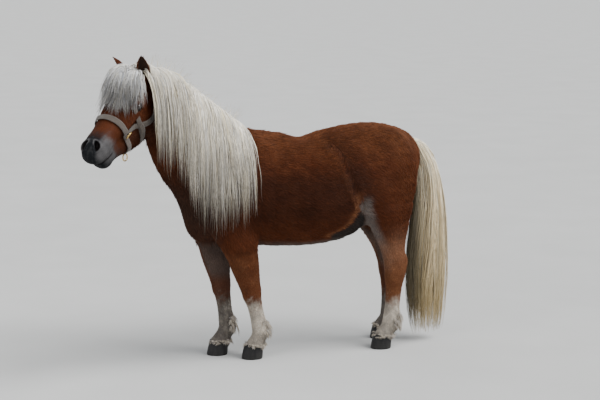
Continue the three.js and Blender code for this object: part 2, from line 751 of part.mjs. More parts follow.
// A lock: a ridged blade along a spine of { p, n }. It leaves its root as a thin stalk, widens, and ends
// in a thin tip.
const LOCK = { stalk: 0.12, widest: 0.35, narrows: 0.6, tip: 1.6 };
function lock(spine, { width, thick, stalk = LOCK.stalk }) {
  const last = spine.length - 1;
  const gone = spine.map(() => 0);
  for (let i = 1; i <= last; i++) gone[i] = gone[i - 1] + spine[i].p.distanceTo(spine[i - 1].p);
  return tube(spine.map(({ p, n }, i) => {
    const t = gone[i] / gone[last];
    const axis = spine[Math.min(i + 1, last)].p.clone().sub(spine[Math.max(i - 1, 0)].p).normalize();
    const side = vec().crossVectors(axis, n).normalize();
    const out = vec().crossVectors(side, axis).normalize();
    const swell = lerp(stalk, 1, Math.sin((Math.PI / 2) * Math.min(t / LOCK.widest, 1)));
    const taper = t < LOCK.narrows ? 1 : 1 - ((t - LOCK.narrows) / (1 - LOCK.narrows)) ** LOCK.tip;
    const half = Math.max(((width[i] ?? width) * swell * taper) / 2, 2);
    const ridge = Math.max(thick * Math.sqrt(swell * taper), 1.2);
    return [
      p.clone().addScaledVector(side, half).addScaledVector(out, -ridge * 0.3),
      p.clone().addScaledVector(out, ridge * 0.7),
      p.clone().addScaledVector(side, -half).addScaledVector(out, -ridge * 0.3),
    ];
  }));
}

// What hair keeps clear of: the flesh, and a rounded room for each ear and hoof
const EAR_ROOM = { rise: 34, sizes: [24, 24, 60] };
const HOOF_ROOM = { height: 22, sizes: [43, 46, 44] };
const earRooms = SIDES.map(([, side]) =>
  ball(onHead(EAR.along, side * EAR.out, EAR.up + EAR_ROOM.rise), EAR_ROOM.sizes));
const hoofRooms = Object.values(LEGS).map(({ joints: { coronet } }) =>
  ball(coronet.clone().setZ(HOOF_ROOM.height), HOOF_ROOM.sizes));
const nearest = (fields) => (p) => Math.min(...fields.map((field) => field(p)));
const hairFloor = nearest([flesh, ...earRooms]);
const featherFloor = nearest([flesh, ...hoofRooms]);

// Roots along the crest: 0 at the withers, 1 between the ears
const crestLine = new THREE.CatmullRomCurve3([
  ...NECK.slice(0, -1).map(([x, y, z], i) => {
    const [before, after] = [NECK[Math.max(i - 1, 0)], NECK[i + 1]].map((row) => vec(...row.slice(0, 3)));
    const axis = after.sub(before).normalize();
    return toSkin(vec(x, y, z), vec(0, 0, 1).addScaledVector(axis, -axis.z).normalize());
  }),
  toSkin(onHead(-44, 0, -30), FACE),
  toSkin(onHead(-18, 0, -10), FACE),
]);
const crest = (t) => crestLine.getPointAt(clamp(t, 0, 1));
const crestWay = (t) => crestLine.getTangentAt(clamp(t, 0, 1));
const valueAt = (values, t) => {
  const at = clamp(t, 0, 1) * (values.length - 1);
  const i = Math.min(Math.floor(at), values.length - 2);
  return lerp(values[i], values[i + 1], at - i);
};

// Mane: locks fall from a roll along the crest, in layers that lie over one another without touching.
// The locks of a layer stand apart, and the next layer covers the spaces between them.
const MANE = { from: 0.2, to: 1, fall: [330, 425, 510, 565, 590, 575, 510, 440], arch: 0.6, sway: 0.12 };
const MANE_STEPS = [34, 88, 170, 270, 380];
const MANE_FRONT = { left: vec(0.95, -0.3, 0), right: vec(-0.98, 0.1, 0) }; // way of the foremost locks
const MANE_ROLL = { wide: 26, high: 29, rise: 17, rings: 11, around: 7 };
const MANE_LAYERS = [
  { side: 'left', count: 6, phase: 0.35, share: 1, width: 66, thick: 9, lift: 8, root: 10 },
  { side: 'left', count: 6, phase: 0.87, share: 0.96, width: 60, thick: 9, lift: 21, root: 22 },
  { side: 'left', count: 4, phase: 0.5, share: 0.68, width: 72, thick: 9, lift: 34, root: 34 },
  { side: 'right', count: 5, phase: 0.35, share: 0.7, width: 78, thick: 9, lift: 8, root: 10 },
  { side: 'right', count: 4, phase: 0.6, share: 0.62, width: 76, thick: 9, lift: 21, root: 24 },
];
function maneRoll() {
  const { wide, high, rise, rings, around } = MANE_ROLL;
  return tube(Array.from({ length: rings }, (_, i) => {
    const t = lerp(MANE.from - 0.03, MANE.to - 0.01, i / (rings - 1));
    const middle = crest(t);
    const up = vec().crossVectors(NECK_WIDE, crestWay(t)).normalize();
    if (up.z < 0) up.negate();
    const size = Math.sin(Math.PI * clamp((i + 0.6) / (rings + 0.2), 0, 1)) ** 0.35;
    return Array.from({ length: around }, (_, k) => {
      const angle = (k / around) * 2 * Math.PI;
      return middle.clone()
        .addScaledVector(NECK_WIDE, Math.cos(angle) * wide * size)
        .addScaledVector(up, rise + Math.sin(angle) * high * size);
    });
  }));
}
function maneLocks({ side, count, phase, share, width, thick, lift, root }, draw) {
  return Array.from({ length: count }, (_, i) => {
    const t = lerp(MANE.from, MANE.to, (i + phase) / count);
    const across = NECK_WIDE.clone().multiplyScalar(side === 'left' ? 1 : -1).lerp(MANE_FRONT[side], t ** 3);
    const heading = across.clone().add(vec(0, 0, MANE.arch));
    const spine = drape({
      root: crest(t).add(vec(0, 0, root)).addScaledVector(across, 4),
      heading: heading.addScaledVector(crestWay(t), draw(-MANE.sway, MANE.sway)),
      length: valueAt(MANE.fall, t) * share * draw(0.9, 1.08),
      steps: MANE_STEPS,
      lift,
      pull: 0.45,
      field: hairFloor,
    });
    return lock(spine, { width: width * draw(0.9, 1.08), thick });
  });
}
const maneDraw = seededDraw(11);
const mane = addAll([maneRoll(), ...MANE_LAYERS.flatMap((layer) => maneLocks(layer, maneDraw))]);
const POLL_GAP = -9; // where the forelock ends and the mane begins, along the head

// Forelock: from between the ears over the brow to both sides, in three layers that join at the root
const FORELOCK = {
  longest: 250, foot: 10, root: 20, spread: 20, arch: 0.9, ahead: 0.7, fan: 1.5, left: 0.1, shorter: 0.1,
  knot: { up: 62, sizes: [24, 28, 26] },
};
const FORELOCK_STEPS = [26, 64, 120];
const FORELOCK_LAYERS = [
  { count: 4, phase: 0.5, share: 0.92, width: 60, thick: 10, lift: 11 },
  { count: 4, phase: 0.1, share: 1, width: 54, thick: 10, lift: 28 },
  { count: 3, phase: 0.5, share: 0.84, width: 56, thick: 10, lift: 45 },
];
function forelock() {
  const draw = seededDraw(5);
  const root = solid(
    new THREE.IcosahedronGeometry(1, 1),
    new THREE.Matrix4().makeTranslation(FORELOCK.root, 0, FORELOCK.knot.up)
      .scale(vec(...FORELOCK.knot.sizes))
      .premultiply(headFrame),
  );
  const locks = FORELOCK_LAYERS.flatMap(({ count, phase, share, width, thick, lift }) =>
    Array.from({ length: count }, (_, i) => {
      const s = lerp(-1, 1, (i + phase + draw(-0.08, 0.08)) / (count - 0.2));
      const heading = ALONG.clone().multiplyScalar(FORELOCK.ahead)
        .addScaledVector(LEFT, s * FORELOCK.fan + FORELOCK.left);
      const spine = drape({
        root: toSkin(onHead(FORELOCK.root, s * FORELOCK.spread, 0), FACE, flesh, FORELOCK.foot + lift / 2),
        heading: heading.addScaledVector(FACE, FORELOCK.arch),
        length: FORELOCK.longest * share * (1 - FORELOCK.shorter * Math.max(s, 0)) * draw(0.94, 1.06),
        steps: FORELOCK_STEPS,
        lift,
        pull: 0.42,
        field: hairFloor,
      });
      return lock(spine, { width: width * draw(0.9, 1.08), thick });
    }));
  const behind = halfSpace(onHead(POLL_GAP, 0, 0), ALONG.clone().negate());
  return addAll([root, ...locks]).subtract(behind);
}
addNode('forelock', clearOf(forelock(), [headSeat, neckSeat, ...earSeats]), FLAXEN);
const ROOM_OF_FORELOCK = { long: 80, wide: 70, high: 200, up: 120 };
const forelockRoom = solid(
  new THREE.BoxGeometry(ROOM_OF_FORELOCK.long, ROOM_OF_FORELOCK.wide, ROOM_OF_FORELOCK.high),
  new THREE.Matrix4()
    .makeTranslation(POLL_GAP - SEAT + ROOM_OF_FORELOCK.long / 2, 0, ROOM_OF_FORELOCK.up)
    .premultiply(headFrame),
);

// Tail: rows of the dock and of the room that the hair fills, [x, y, z, half width, half depth]
const TAIL = smoothRows([
  [6, 664, 866, 22, 22],
  [8, 700, 862, 34, 30],
  [9, 730, 826, 46, 42],
  [10, 752, 740, 58, 50],
  [10, 762, 600, 66, 62],
  [10, 758, 434, 70, 76],
  [10, 754, 261, 68, 84],
  [10, 750, 130, 60, 80],
  [10, 750, 30, 44, 60],
], 3);
const TAIL_CORE = { share: 0.45, fill: 0.42, rings: 7, around: 7 };
const TAIL_LAYERS = [
  { count: 3, from: [0.16, 0.22], to: [0.84, 0.97], fill: 0.5, thick: 10 },
  { count: 5, from: [0.12, 0.2], to: [0.86, 1], fill: 0.75, thick: 11 },
  { count: 6, from: [0.05, 0.16], to: [0.7, 1], fill: 0.98, thick: 11 },
];
function tailPoint(share, angle, fill) {
  const [x, y, z, wide, deep] = TAIL[0].map((_, k) => valueAt(TAIL.map((row) => row[k]), share));
  const [ahead, behind] = [0.04, -0.04].map((step) =>
    vec(...[0, 1, 2].map((k) => valueAt(TAIL.map((row) => row[k]), share + step))));
  const axis = ahead.sub(behind).normalize();
  const across = vec(1, 0, 0).addScaledVector(axis, -axis.x).normalize();
  const out = vec().crossVectors(axis, across);
  const n = across.multiplyScalar(Math.cos(angle) * wide).addScaledVector(out, Math.sin(angle) * deep);
  return { p: vec(x, y, z).addScaledVector(n, fill), n: n.clone().normalize() };
}
const TAIL_STEPS = [0, 0.08, 0.2, 0.4, 0.62, 0.82, 1];
const TAIL_LOCK = { rooted: 0.4, opens: 4.5, cover: 1.02, widest: 76, stalk: 0.4 };
function tailLocks({ count, from, to, fill, thick }, draw) {
  const start = draw(0, 2 * Math.PI);
  return Array.from({ length: count }, (_, i) => {
    const angle = start + ((i + draw(-0.08, 0.08)) / count) * 2 * Math.PI;
    const ends = [draw(...from), draw(...to)];
    const spine = TAIL_STEPS.map((t) => tailPoint(
      lerp(ends[0], ends[1], t),
      angle,
      fill * lerp(TAIL_LOCK.rooted, 1, Math.min(t * TAIL_LOCK.opens, 1)),
    ));
    const width = spine.map(({ p }, k) => {
      const middle = tailPoint(lerp(ends[0], ends[1], TAIL_STEPS[k]), angle, 0).p;
      const around = p.distanceTo(middle) * 2 * Math.PI;
      return Math.min((around * TAIL_LOCK.cover) / count, TAIL_LOCK.widest);
    });
    return lock(spine, { width, thick, stalk: TAIL_LOCK.stalk });
  });
}
function tail() {
  const draw = seededDraw(23);
  const { share, fill, rings, around } = TAIL_CORE;
  const core = tube(Array.from({ length: rings }, (_, i) => {
    const t = i / (rings - 1);
    const size = fill * (t < 0.8 ? 1 : 1 - 3.4 * (t - 0.8));
    return Array.from({ length: around }, (_, k) => {
      const angle = (k / around) * 2 * Math.PI;
      return tailPoint(share * t, angle, size).p;
    });
  }));
  return addAll([core, ...TAIL_LAYERS.flatMap((layer) => tailLocks(layer, draw))]);
}
addNode('tail', tail().subtract(torsoSeat), FLAXEN);

// Feather: long hair behind each fetlock, a fan of locks that falls over the heel
const FEATHER = {
  count: 5, length: 78, width: 34, thick: 8, lifts: [4, 12], spread: 64, rise: 12, back: 0.45,
  root: { from: vec(0, 20, 8), sizes: vec(24, 22, 28) },
};
const FEATHER_STEPS = [16, 38];
function feather({ fetlock }, draw) {
  const root = solid(
    new THREE.IcosahedronGeometry(1, 1),
    new THREE.Matrix4().setPosition(fetlock.clone().add(FEATHER.root.from)).scale(FEATHER.root.sizes),
  );
  const locks = Array.from({ length: FEATHER.count }, (_, i) => {
    const angle = radians(lerp(-FEATHER.spread, FEATHER.spread, i / (FEATHER.count - 1)) + draw(-4, 4));
    const out = vec(Math.sin(angle), Math.cos(angle), 0);
    const lift = FEATHER.lifts[i % 2];
    return lock(drape({
      root: toSkin(fetlock.clone().add(vec(0, 4, FEATHER.rise)), out, flesh, lift),
      heading: out.clone().multiplyScalar(FEATHER.back).add(vec(0, 0, -1)),
      length: FEATHER.length * draw(0.88, 1.05) * (1 - 0.12 * Math.sin(Math.abs(angle))),
      steps: FEATHER_STEPS,
      lift,
      pull: 0.6,
      field: featherFloor,
    }), { width: FEATHER.width * draw(0.9, 1.1), thick: FEATHER.thick, stalk: 0.6 });
  });
  return addAll([root, ...locks]);
}
const featherDraw = seededDraw(31);
for (const [name, { joints }] of Object.entries(LEGS)) {
  const made = clearOf(feather(joints, featherDraw), [legSeats[name], hoofSeats[name]]);
  addNode(name.replace(/(fore|hind)leg/, 'feather_$1'), made, STOCKING);
}

// Headcollar: webbing round the nose, up the cheeks and behind the ears, and under the throat

// A strap through points that lie on the skin. grow thickens it all round.
function strap(stations, { closed = false, width = STRAP.width, lift = STRAP.lift, grow = 0 } = {}) {
  const count = stations.length;
  const rings = stations.map(({ p }, i) => {
    const before = stations[closed ? (i + count - 1) % count : Math.max(i - 1, 0)].p;
    const after = stations[closed ? (i + 1) % count : Math.min(i + 1, count - 1)].p;
    const axis = after.clone().sub(before).normalize();
    const out = slopeAt(p);
    const up = out.addScaledVector(axis, -out.dot(axis)).normalize();
    const side = vec().crossVectors(axis, up);
    const corner = (s, t) => p.clone().addScaledVector(side, s * (width / 2 + grow)).addScaledVector(up, t);
    const clear = Math.max(lift, ...[-1, -0.5, 0, 0.5, 1].map((s) => 2 * lift - height(corner(s, lift))));
    const [under, over] = [clear - grow, clear + STRAP.thick + grow];
    return [corner(-1, under), corner(1, under), corner(1, over), corner(-1, over)];
  });
  return tube(rings, closed);
}
// A point of the head's skin, by its place along the head and its angle from level round the head's core.
// The core of each strap is a height on the head's middle plane.
const CORE = { nose: -26, cheek: -30, jaw: -60 };
function onCheek(place, angle, core, level = 0) {
  const turned = radians(angle);
  const out = LEFT.clone().multiplyScalar(Math.cos(turned)).addScaledVector(FACE, Math.sin(turned));
  return { p: toSkin(onHead(place, 0, core), out, flesh, level) };
}
const mirrored = (rows) => [
  ...rows,
  ...rows.slice(0, -1).reverse().map(([place, angle, level]) => [place, 180 - angle, level]),
];
const NOSE = { place: 236, lean: 7, count: 26 };
const noseStations = Array.from({ length: NOSE.count }, (_, i) => {
  const angle = (i / NOSE.count) * 360;
  return onCheek(NOSE.place + NOSE.lean * Math.sin(radians(angle)), angle, CORE.nose);
});
// Rows of the headpiece and the jaw strap: [place, angle, height over the skin]
const OVER = STRAP.thick + 1.4; // a strap that lies on another one
const HEADPIECE = [[215, -19, 0], [192, -24, 0], [160, -30, 0], [120, -35, 0], [82, -35, 0],
  [45, -28, 0], [12, -12, 0], [-14, 12, 0], [-31, 38, 0], [-38, 65, 0], [-39, 90, 0]];
const JAW_STRAP = [[150, -4, OVER], [150, -24, OVER], [150, -44, 0.6], [150, -66, 0], [150, -90, 0]];
const stationsOf = (rows, core) =>
  mirrored(rows).map(([place, angle, level]) => onCheek(place, angle, core, level));
const headStations = stationsOf(HEADPIECE, CORE.cheek);
const jawStations = stationsOf(JAW_STRAP, CORE.jaw);
const seats = [headSeat, neckSeat];
addNode('halter_noseband', clearOf(strap(noseStations, { closed: true }), seats), WEBBING, 0.9);
addNode('halter_headpiece', clearOf(strap(headStations), seats), WEBBING, 0.9);
addNode('halter_jaw_strap', clearOf(strap(jawStations, { width: 20 }), seats), WEBBING, 0.9);

// Brass rings where the noseband meets the cheek pieces, and one under the chin
function ring(place, angle, tilt) {
  const { p } = onCheek(place, angle, CORE.nose);
  const out = slopeAt(p).normalize();
  const turned = new THREE.Quaternion().setFromUnitVectors(vec(0, 0, 1), tilt ?? out);
  const rise = tilt ? RING.radius + 1 : RING.over;
  const centre = p.addScaledVector(out, STRAP.lift + STRAP.thick + RING.wire + rise);
  const matrix = new THREE.Matrix4().compose(centre, turned, vec(1, 1, 1));
  return solid(new THREE.TorusGeometry(RING.radius, RING.wire, 5, 14), matrix);
}
addNode('halter_ring_left', ring(226, -18), BRASS, 0.4, 1);
addNode('halter_ring_right', ring(226, 198), BRASS, 0.4, 1);
addNode('halter_ring_chin', ring(230, -90, LEFT), BRASS, 0.4, 1);

const headpieceRoom = strap(headStations, { grow: SEAT });
const maneSeats = [neckSeat, torsoSeat, headSeat, ...earSeats, forelockRoom, headpieceRoom];
addNode('mane', clearOf(mane, maneSeats), FLAXEN);

// The box of the whole animal is centred over the origin, with the soles on the ground.
const box = new THREE.Box3().setFromObject(pony);
pony.position.set(-(box.min.x + box.max.x) / 2, -(box.min.y + box.max.y) / 2, -box.min.z);
pony.updateMatrixWorld(true);

export default pony;
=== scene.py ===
"""A Shetland pony in a webbing headcollar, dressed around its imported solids.

The solids' frame is in metres: +X is the animal's left, +Y runs from nose to tail and +Z is up. The body is
modelled in a frame of its own with the same axes, whose origin stands on the ground between the legs. Rows
of body sizes are in millimetres in that frame, MM turns them into metres, and Body.shift carries a
finished mesh into the solids' frame.
"""

from __future__ import annotations

import logging
import math
from dataclasses import dataclass, field, replace
from enum import Enum, IntEnum
from typing import Callable, Sequence

import bmesh
import bpy
import numpy as np
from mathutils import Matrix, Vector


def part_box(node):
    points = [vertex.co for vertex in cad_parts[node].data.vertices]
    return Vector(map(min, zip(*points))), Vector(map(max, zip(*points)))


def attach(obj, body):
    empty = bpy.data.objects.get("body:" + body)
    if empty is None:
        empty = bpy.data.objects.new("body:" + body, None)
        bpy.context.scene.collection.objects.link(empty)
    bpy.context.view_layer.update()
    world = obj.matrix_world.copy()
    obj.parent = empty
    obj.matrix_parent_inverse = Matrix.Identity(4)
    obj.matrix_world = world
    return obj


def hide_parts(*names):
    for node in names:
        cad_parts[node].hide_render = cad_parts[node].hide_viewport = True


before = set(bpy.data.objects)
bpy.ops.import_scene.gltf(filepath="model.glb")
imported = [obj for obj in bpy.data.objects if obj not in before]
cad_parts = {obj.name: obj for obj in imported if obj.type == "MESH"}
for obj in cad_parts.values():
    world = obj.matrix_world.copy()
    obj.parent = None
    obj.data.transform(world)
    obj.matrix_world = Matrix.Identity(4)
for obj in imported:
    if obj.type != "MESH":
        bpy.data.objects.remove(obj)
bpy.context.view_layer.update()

MM = 0.001
FAR = 0.3  # distance that a shape reports for points well away from it
NEAR = 0.13  # how far around a shape its distance is worked out
TURN = 2 * math.pi  # a full turn, in radians
Array = np.ndarray
Triple = tuple[float, float, float]
Rows = Sequence[Sequence[float]]
Piece = bpy.types.Object
Socket = bpy.types.NodeSocket
Random = np.random.Generator
log = logging.getLogger("pony")


class Side(Enum):
    """A side of the animal, with its sign along +X."""

    LEFT = 1
    RIGHT = -1

    @property
    def word(self) -> str:
        """The side's name as the solids spell it."""
        return self.name.lower()


class Region(IntEnum):
    """A part of the skin that carries one piece of coat."""

    TORSO = 0
    NECK = 1
    HEAD = 2
    FORE = 3
    HIND = 4
    EAR = 5


# Small helpers for arrays of points


def unit(vectors: Array) -> Array:
    """Vectors scaled to length one along their last axis."""
    return vectors / np.maximum(np.linalg.norm(vectors, axis=-1, keepdims=True), 1e-12)


def ramp(low: float, high: float, values: Array) -> Array:
    """Zero below low, one above high, and a smooth rise between them."""
    t = np.clip((values - low) / (high - low), 0.0, 1.0)
    return t * t * (3.0 - 2.0 * t)


def smooth_rows(rows: Rows, steps: int) -> Array:
    """Rows with a Catmull-Rom curve through every one.

    Args:
        rows: Rows of numbers, all of one length.
        steps: How many rows to make from each one.

    Returns:
        The longer table of rows.
    """
    table = np.asarray(rows, dtype=float)
    last = len(table) - 1
    made = []
    for i in range(last):
        a, b, c, d = table[max(i - 1, 0)], table[i], table[i + 1], table[min(i + 2, last)]
        for s in range(steps):
            t = s / steps
            cubic = (3 * b - a - 3 * c + d) * t**3
            made.append(0.5 * (2 * b + (c - a) * t + (2 * a - 5 * b + 4 * c - d) * t**2 + cubic))
    made.append(table[-1])
    return np.array(made)


def value_at(values: Sequence[float], t: Array) -> Array:
    """Values of an evenly spaced row at shares t of its length."""
    row = np.asarray(values, dtype=float)
    return np.interp(np.clip(t, 0.0, 1.0), np.linspace(0.0, 1.0, len(row)), row)


def wander(points: Array, scale: float, seed: int) -> Array:
    """A smooth irregular value between about -1 and 1 at each point.

    Args:
        points: Points, in metres.
        scale: Size of the patches, in metres.
        seed: Which pattern to draw.

    Returns:
        One value for each point.
    """
    draw = np.random.default_rng(seed)
    total = np.zeros(len(points))
    for octave in range(4):
        way = unit(draw.normal(size=(3, 3)))
        phase = draw.uniform(0, 2 * math.pi, 3)
        angles = points @ way.T * (2 * math.pi / scale * 1.7**octave) + phase
        total += np.sin(angles[:, 0]) * np.sin(angles[:, 1] + np.sin(angles[:, 2])) / 1.5**octave
    return total / 2.2


def gradient(value: Callable[[Array], Array], points: Array, step: float = 0.001) -> Array:
    """How a value changes along each axis at each point, from its values a step away."""
    result = np.empty_like(points)
    for k in range(3):
        nudge = np.zeros(3)
        nudge[k] = step
        result[:, k] = (value(points + nudge) - value(points - nudge)) / (2 * step)
    return result


# Distance fields: below zero inside the flesh


@dataclass
class Sweep:
    """An ellipse swept along a smooth line of rows [x, y, z, half width, half depth], in millimetres."""

    rows: Rows
    lateral: Triple = (1.0, 0.0, 0.0)
    steps: int = 3
    egg: float = 0.0

    def __post_init__(self) -> None:
        """Works out the links between the stations."""
        stations = smooth_rows(self.rows, self.steps) * MM
        self.stations = stations
        self.start = stations[:-1, :3]
        along = stations[1:, :3] - self.start
        self.length = np.linalg.norm(along, axis=1)
        self.axis = along / self.length[:, None]
        lateral = np.array(self.lateral)
        self.wide = unit(lateral - self.axis * (self.axis @ lateral)[:, None])
        self.deep = np.cross(self.wide, self.axis)
        reach = stations[:, 3:].max()
        self.low = stations[:, :3].min(axis=0) - reach
        self.high = stations[:, :3].max(axis=0) + reach

    def distance(self, points: Array) -> Array:
        """Distance from each point to the swept skin."""
        result = np.full(len(points), FAR)
        near = ((points > self.low - NEAR) & (points < self.high + NEAR)).all(axis=1)
        if not near.any():
            return result
        close = points[near]
        best = np.full(len(close), FAR)
        for i in range(len(self.start)):
            offset = close - self.start[i]
            reach = offset @ self.axis[i]
            t = np.clip(reach / self.length[i], 0.0, 1.0)
            past = reach - t * self.length[i]
            offset -= self.axis[i] * (t * self.length[i])[:, None]
            width0, depth0 = self.stations[i, 3:]
            width1, depth1 = self.stations[i + 1, 3:]
            depth = depth0 + (depth1 - depth0) * t
            v = (offset @ self.deep[i]) / depth
            width = (width0 + (width1 - width0) * t) * (1.0 - self.egg * np.clip(v, -1.0, 1.0))
            u = (offset @ self.wide[i]) / width
            w = past / np.minimum(width, depth)
            share = np.maximum(np.sqrt(u * u + v * v + w * w), 1e-6)
            span = np.sqrt((offset * offset).sum(axis=1))
            np.minimum(best, span * (1.0 - 1.0 / share), out=best)
        result[near] = best
        return result


@dataclass
class Ball:
    """An ellipsoid: its centre and half sizes in millimetres, and its turn in degrees about X, Y and Z."""

    centre: Sequence[float]
    sizes: Sequence[float]
    turn: Sequence[float] = (0.0, 0.0, 0.0)

    def __post_init__(self) -> None:
        """Works out the turn and the room that the ball takes."""
        self.middle = np.array(self.centre) * MM
        self.half = np.array(self.sizes) * MM
        self.matrix = euler_matrix(self.turn)
        self.low = self.middle - self.half.max()
        self.high = self.middle + self.half.max()

    def distance(self, points: Array) -> Array:
        """Distance from each point to the ellipsoid."""
        result = np.full(len(points), FAR)
        near = ((points > self.low - NEAR) & (points < self.high + NEAR)).all(axis=1)
        if near.any():
            offset = (points[near] - self.middle) @ self.matrix
            share = np.maximum(np.linalg.norm(offset / self.half, axis=1), 1e-6)
            result[near] = np.linalg.norm(offset, axis=1) * (1.0 - 1.0 / share)
        return result


def euler_matrix(turn: Sequence[float]) -> Array:
    """The matrix of a turn about X, then Y, then Z of its own axes, in degrees."""
    a, b, c = np.radians(turn)
    about_x = np.array([[1, 0, 0], [0, math.cos(a), -math.sin(a)], [0, math.sin(a), math.cos(a)]])
    about_y = np.array([[math.cos(b), 0, math.sin(b)], [0, 1, 0], [-math.sin(b), 0, math.cos(b)]])
    about_z = np.array([[math.cos(c), -math.sin(c), 0], [math.sin(c), math.cos(c), 0], [0, 0, 1]])
    return about_x @ about_y @ about_z


@dataclass
class Joined:
    """A first shape with each other one filleted into it, as (shape, width of the fillet in millimetres)."""

    first: object
    others: Sequence[tuple[object, float]]

    def distance(self, points: Array) -> Array:
        """Distance from each point to the joined shape."""
        total = self.first.distance(points)
        for shape, blend in self.others:
            other = shape.distance(points)
            wide = blend * MM
            share = np.maximum(wide - np.abs(total - other), 0.0) / wide
            total = np.minimum(total, other) - share * share * wide / 4
        return total


@dataclass
class Placed:
    """A shape told in a turned frame of its own."""

    shape: object
    axes: Array
    origin: Array

    def distance(self, points: Array) -> Array:
        """Distance from each point to the shape."""
        return self.shape.distance((points - self.origin) @ self.axes.T)


# The animal's form, with the same rows as its solids


@dataclass
class HeadFrame:
    """The head's frame: along runs from poll to lips, left to its left and face up out of the face."""

    turn: float = 41.0
    drop: float = 35.5
    poll: Triple = (62.0, -514.0, 1130.0)

    def __post_init__(self) -> None:
        """Works out the three axes."""
        turn, drop = math.radians(self.turn), math.radians(self.drop)
        level = np.array([math.sin(turn), -math.cos(turn), 0.0])
        self.along = level * math.cos(drop) - np.array([0.0, 0.0, math.sin(drop)])
        self.left = np.array([math.cos(turn), math.sin(turn), 0.0])
        self.face = np.cross(self.along, self.left)
        self.origin = np.array(self.poll) * MM
        self.axes = np.stack([self.along, self.left, self.face])

    def place(self, along: float, left: float, up: float) -> Array:
        """A point of the body's frame from its place on the head in millimetres."""
        return self.origin + np.array([along, left, up]) * MM @ self.axes

    def local(self, points: Array) -> Array:
        """Places on the head, in millimetres, of points of the body's frame."""
        return (points - self.origin) @ self.axes.T / MM


@dataclass
class Leg:
    """A leg's joints from its upper bone to the coronet, in millimetres."""

    upper: Triple
    middle: Triple
    fetlock: Triple
    coronet: Triple
    fore: bool

    @property
    def side(self) -> int:
        """The sign of the side that the leg is on."""
        return 1 if self.fetlock[0] > 0 else -1

    def middle_line(self, heights: Array) -> tuple[Array, Array]:
        """The x and the y of the leg's middle line at each height, in metres."""
        x, y, z = np.array([self.coronet, self.fetlock, self.middle, self.upper]).T * MM
        return np.interp(heights, z, x), np.interp(heights, z, y)


# Girths along a leg's bones: from joint, to joint, and rows of share of the way, half width, half depth and
# step forward
FORE_GIRTHS = (
    ("upper", "middle", ((0, 52, 70, 0), (0.32, 46, 65, 0), (0.55, 40, 57, 0), (0.78, 35, 47, 0),
                         (0.94, 34, 42, 0))),
    ("middle", "fetlock", ((0.06, 34, 39, 2), (0.24, 26, 33, 0), (0.55, 23, 30, 0), (0.84, 26, 33, 0))),
    ("fetlock", "coronet", ((0, 29, 36, 0), (0.45, 27, 32, 0), (1, 35, 39, 0))),
)
HIND_GIRTHS = (
    ("upper", "middle", ((0, 64, 104, 0), (0.25, 56, 88, 0), (0.5, 45, 68, 0), (0.76, 36, 54, 0))),
    ("middle", "fetlock", ((0, 34, 52, 0), (0.18, 31, 46, 0), (0.38, 26, 36, 0), (0.7, 25, 32, 0))),
    ("fetlock", "coronet", ((0, 30, 38, 0), (0.45, 28, 33, 0), (1, 36, 40, 0))),
)


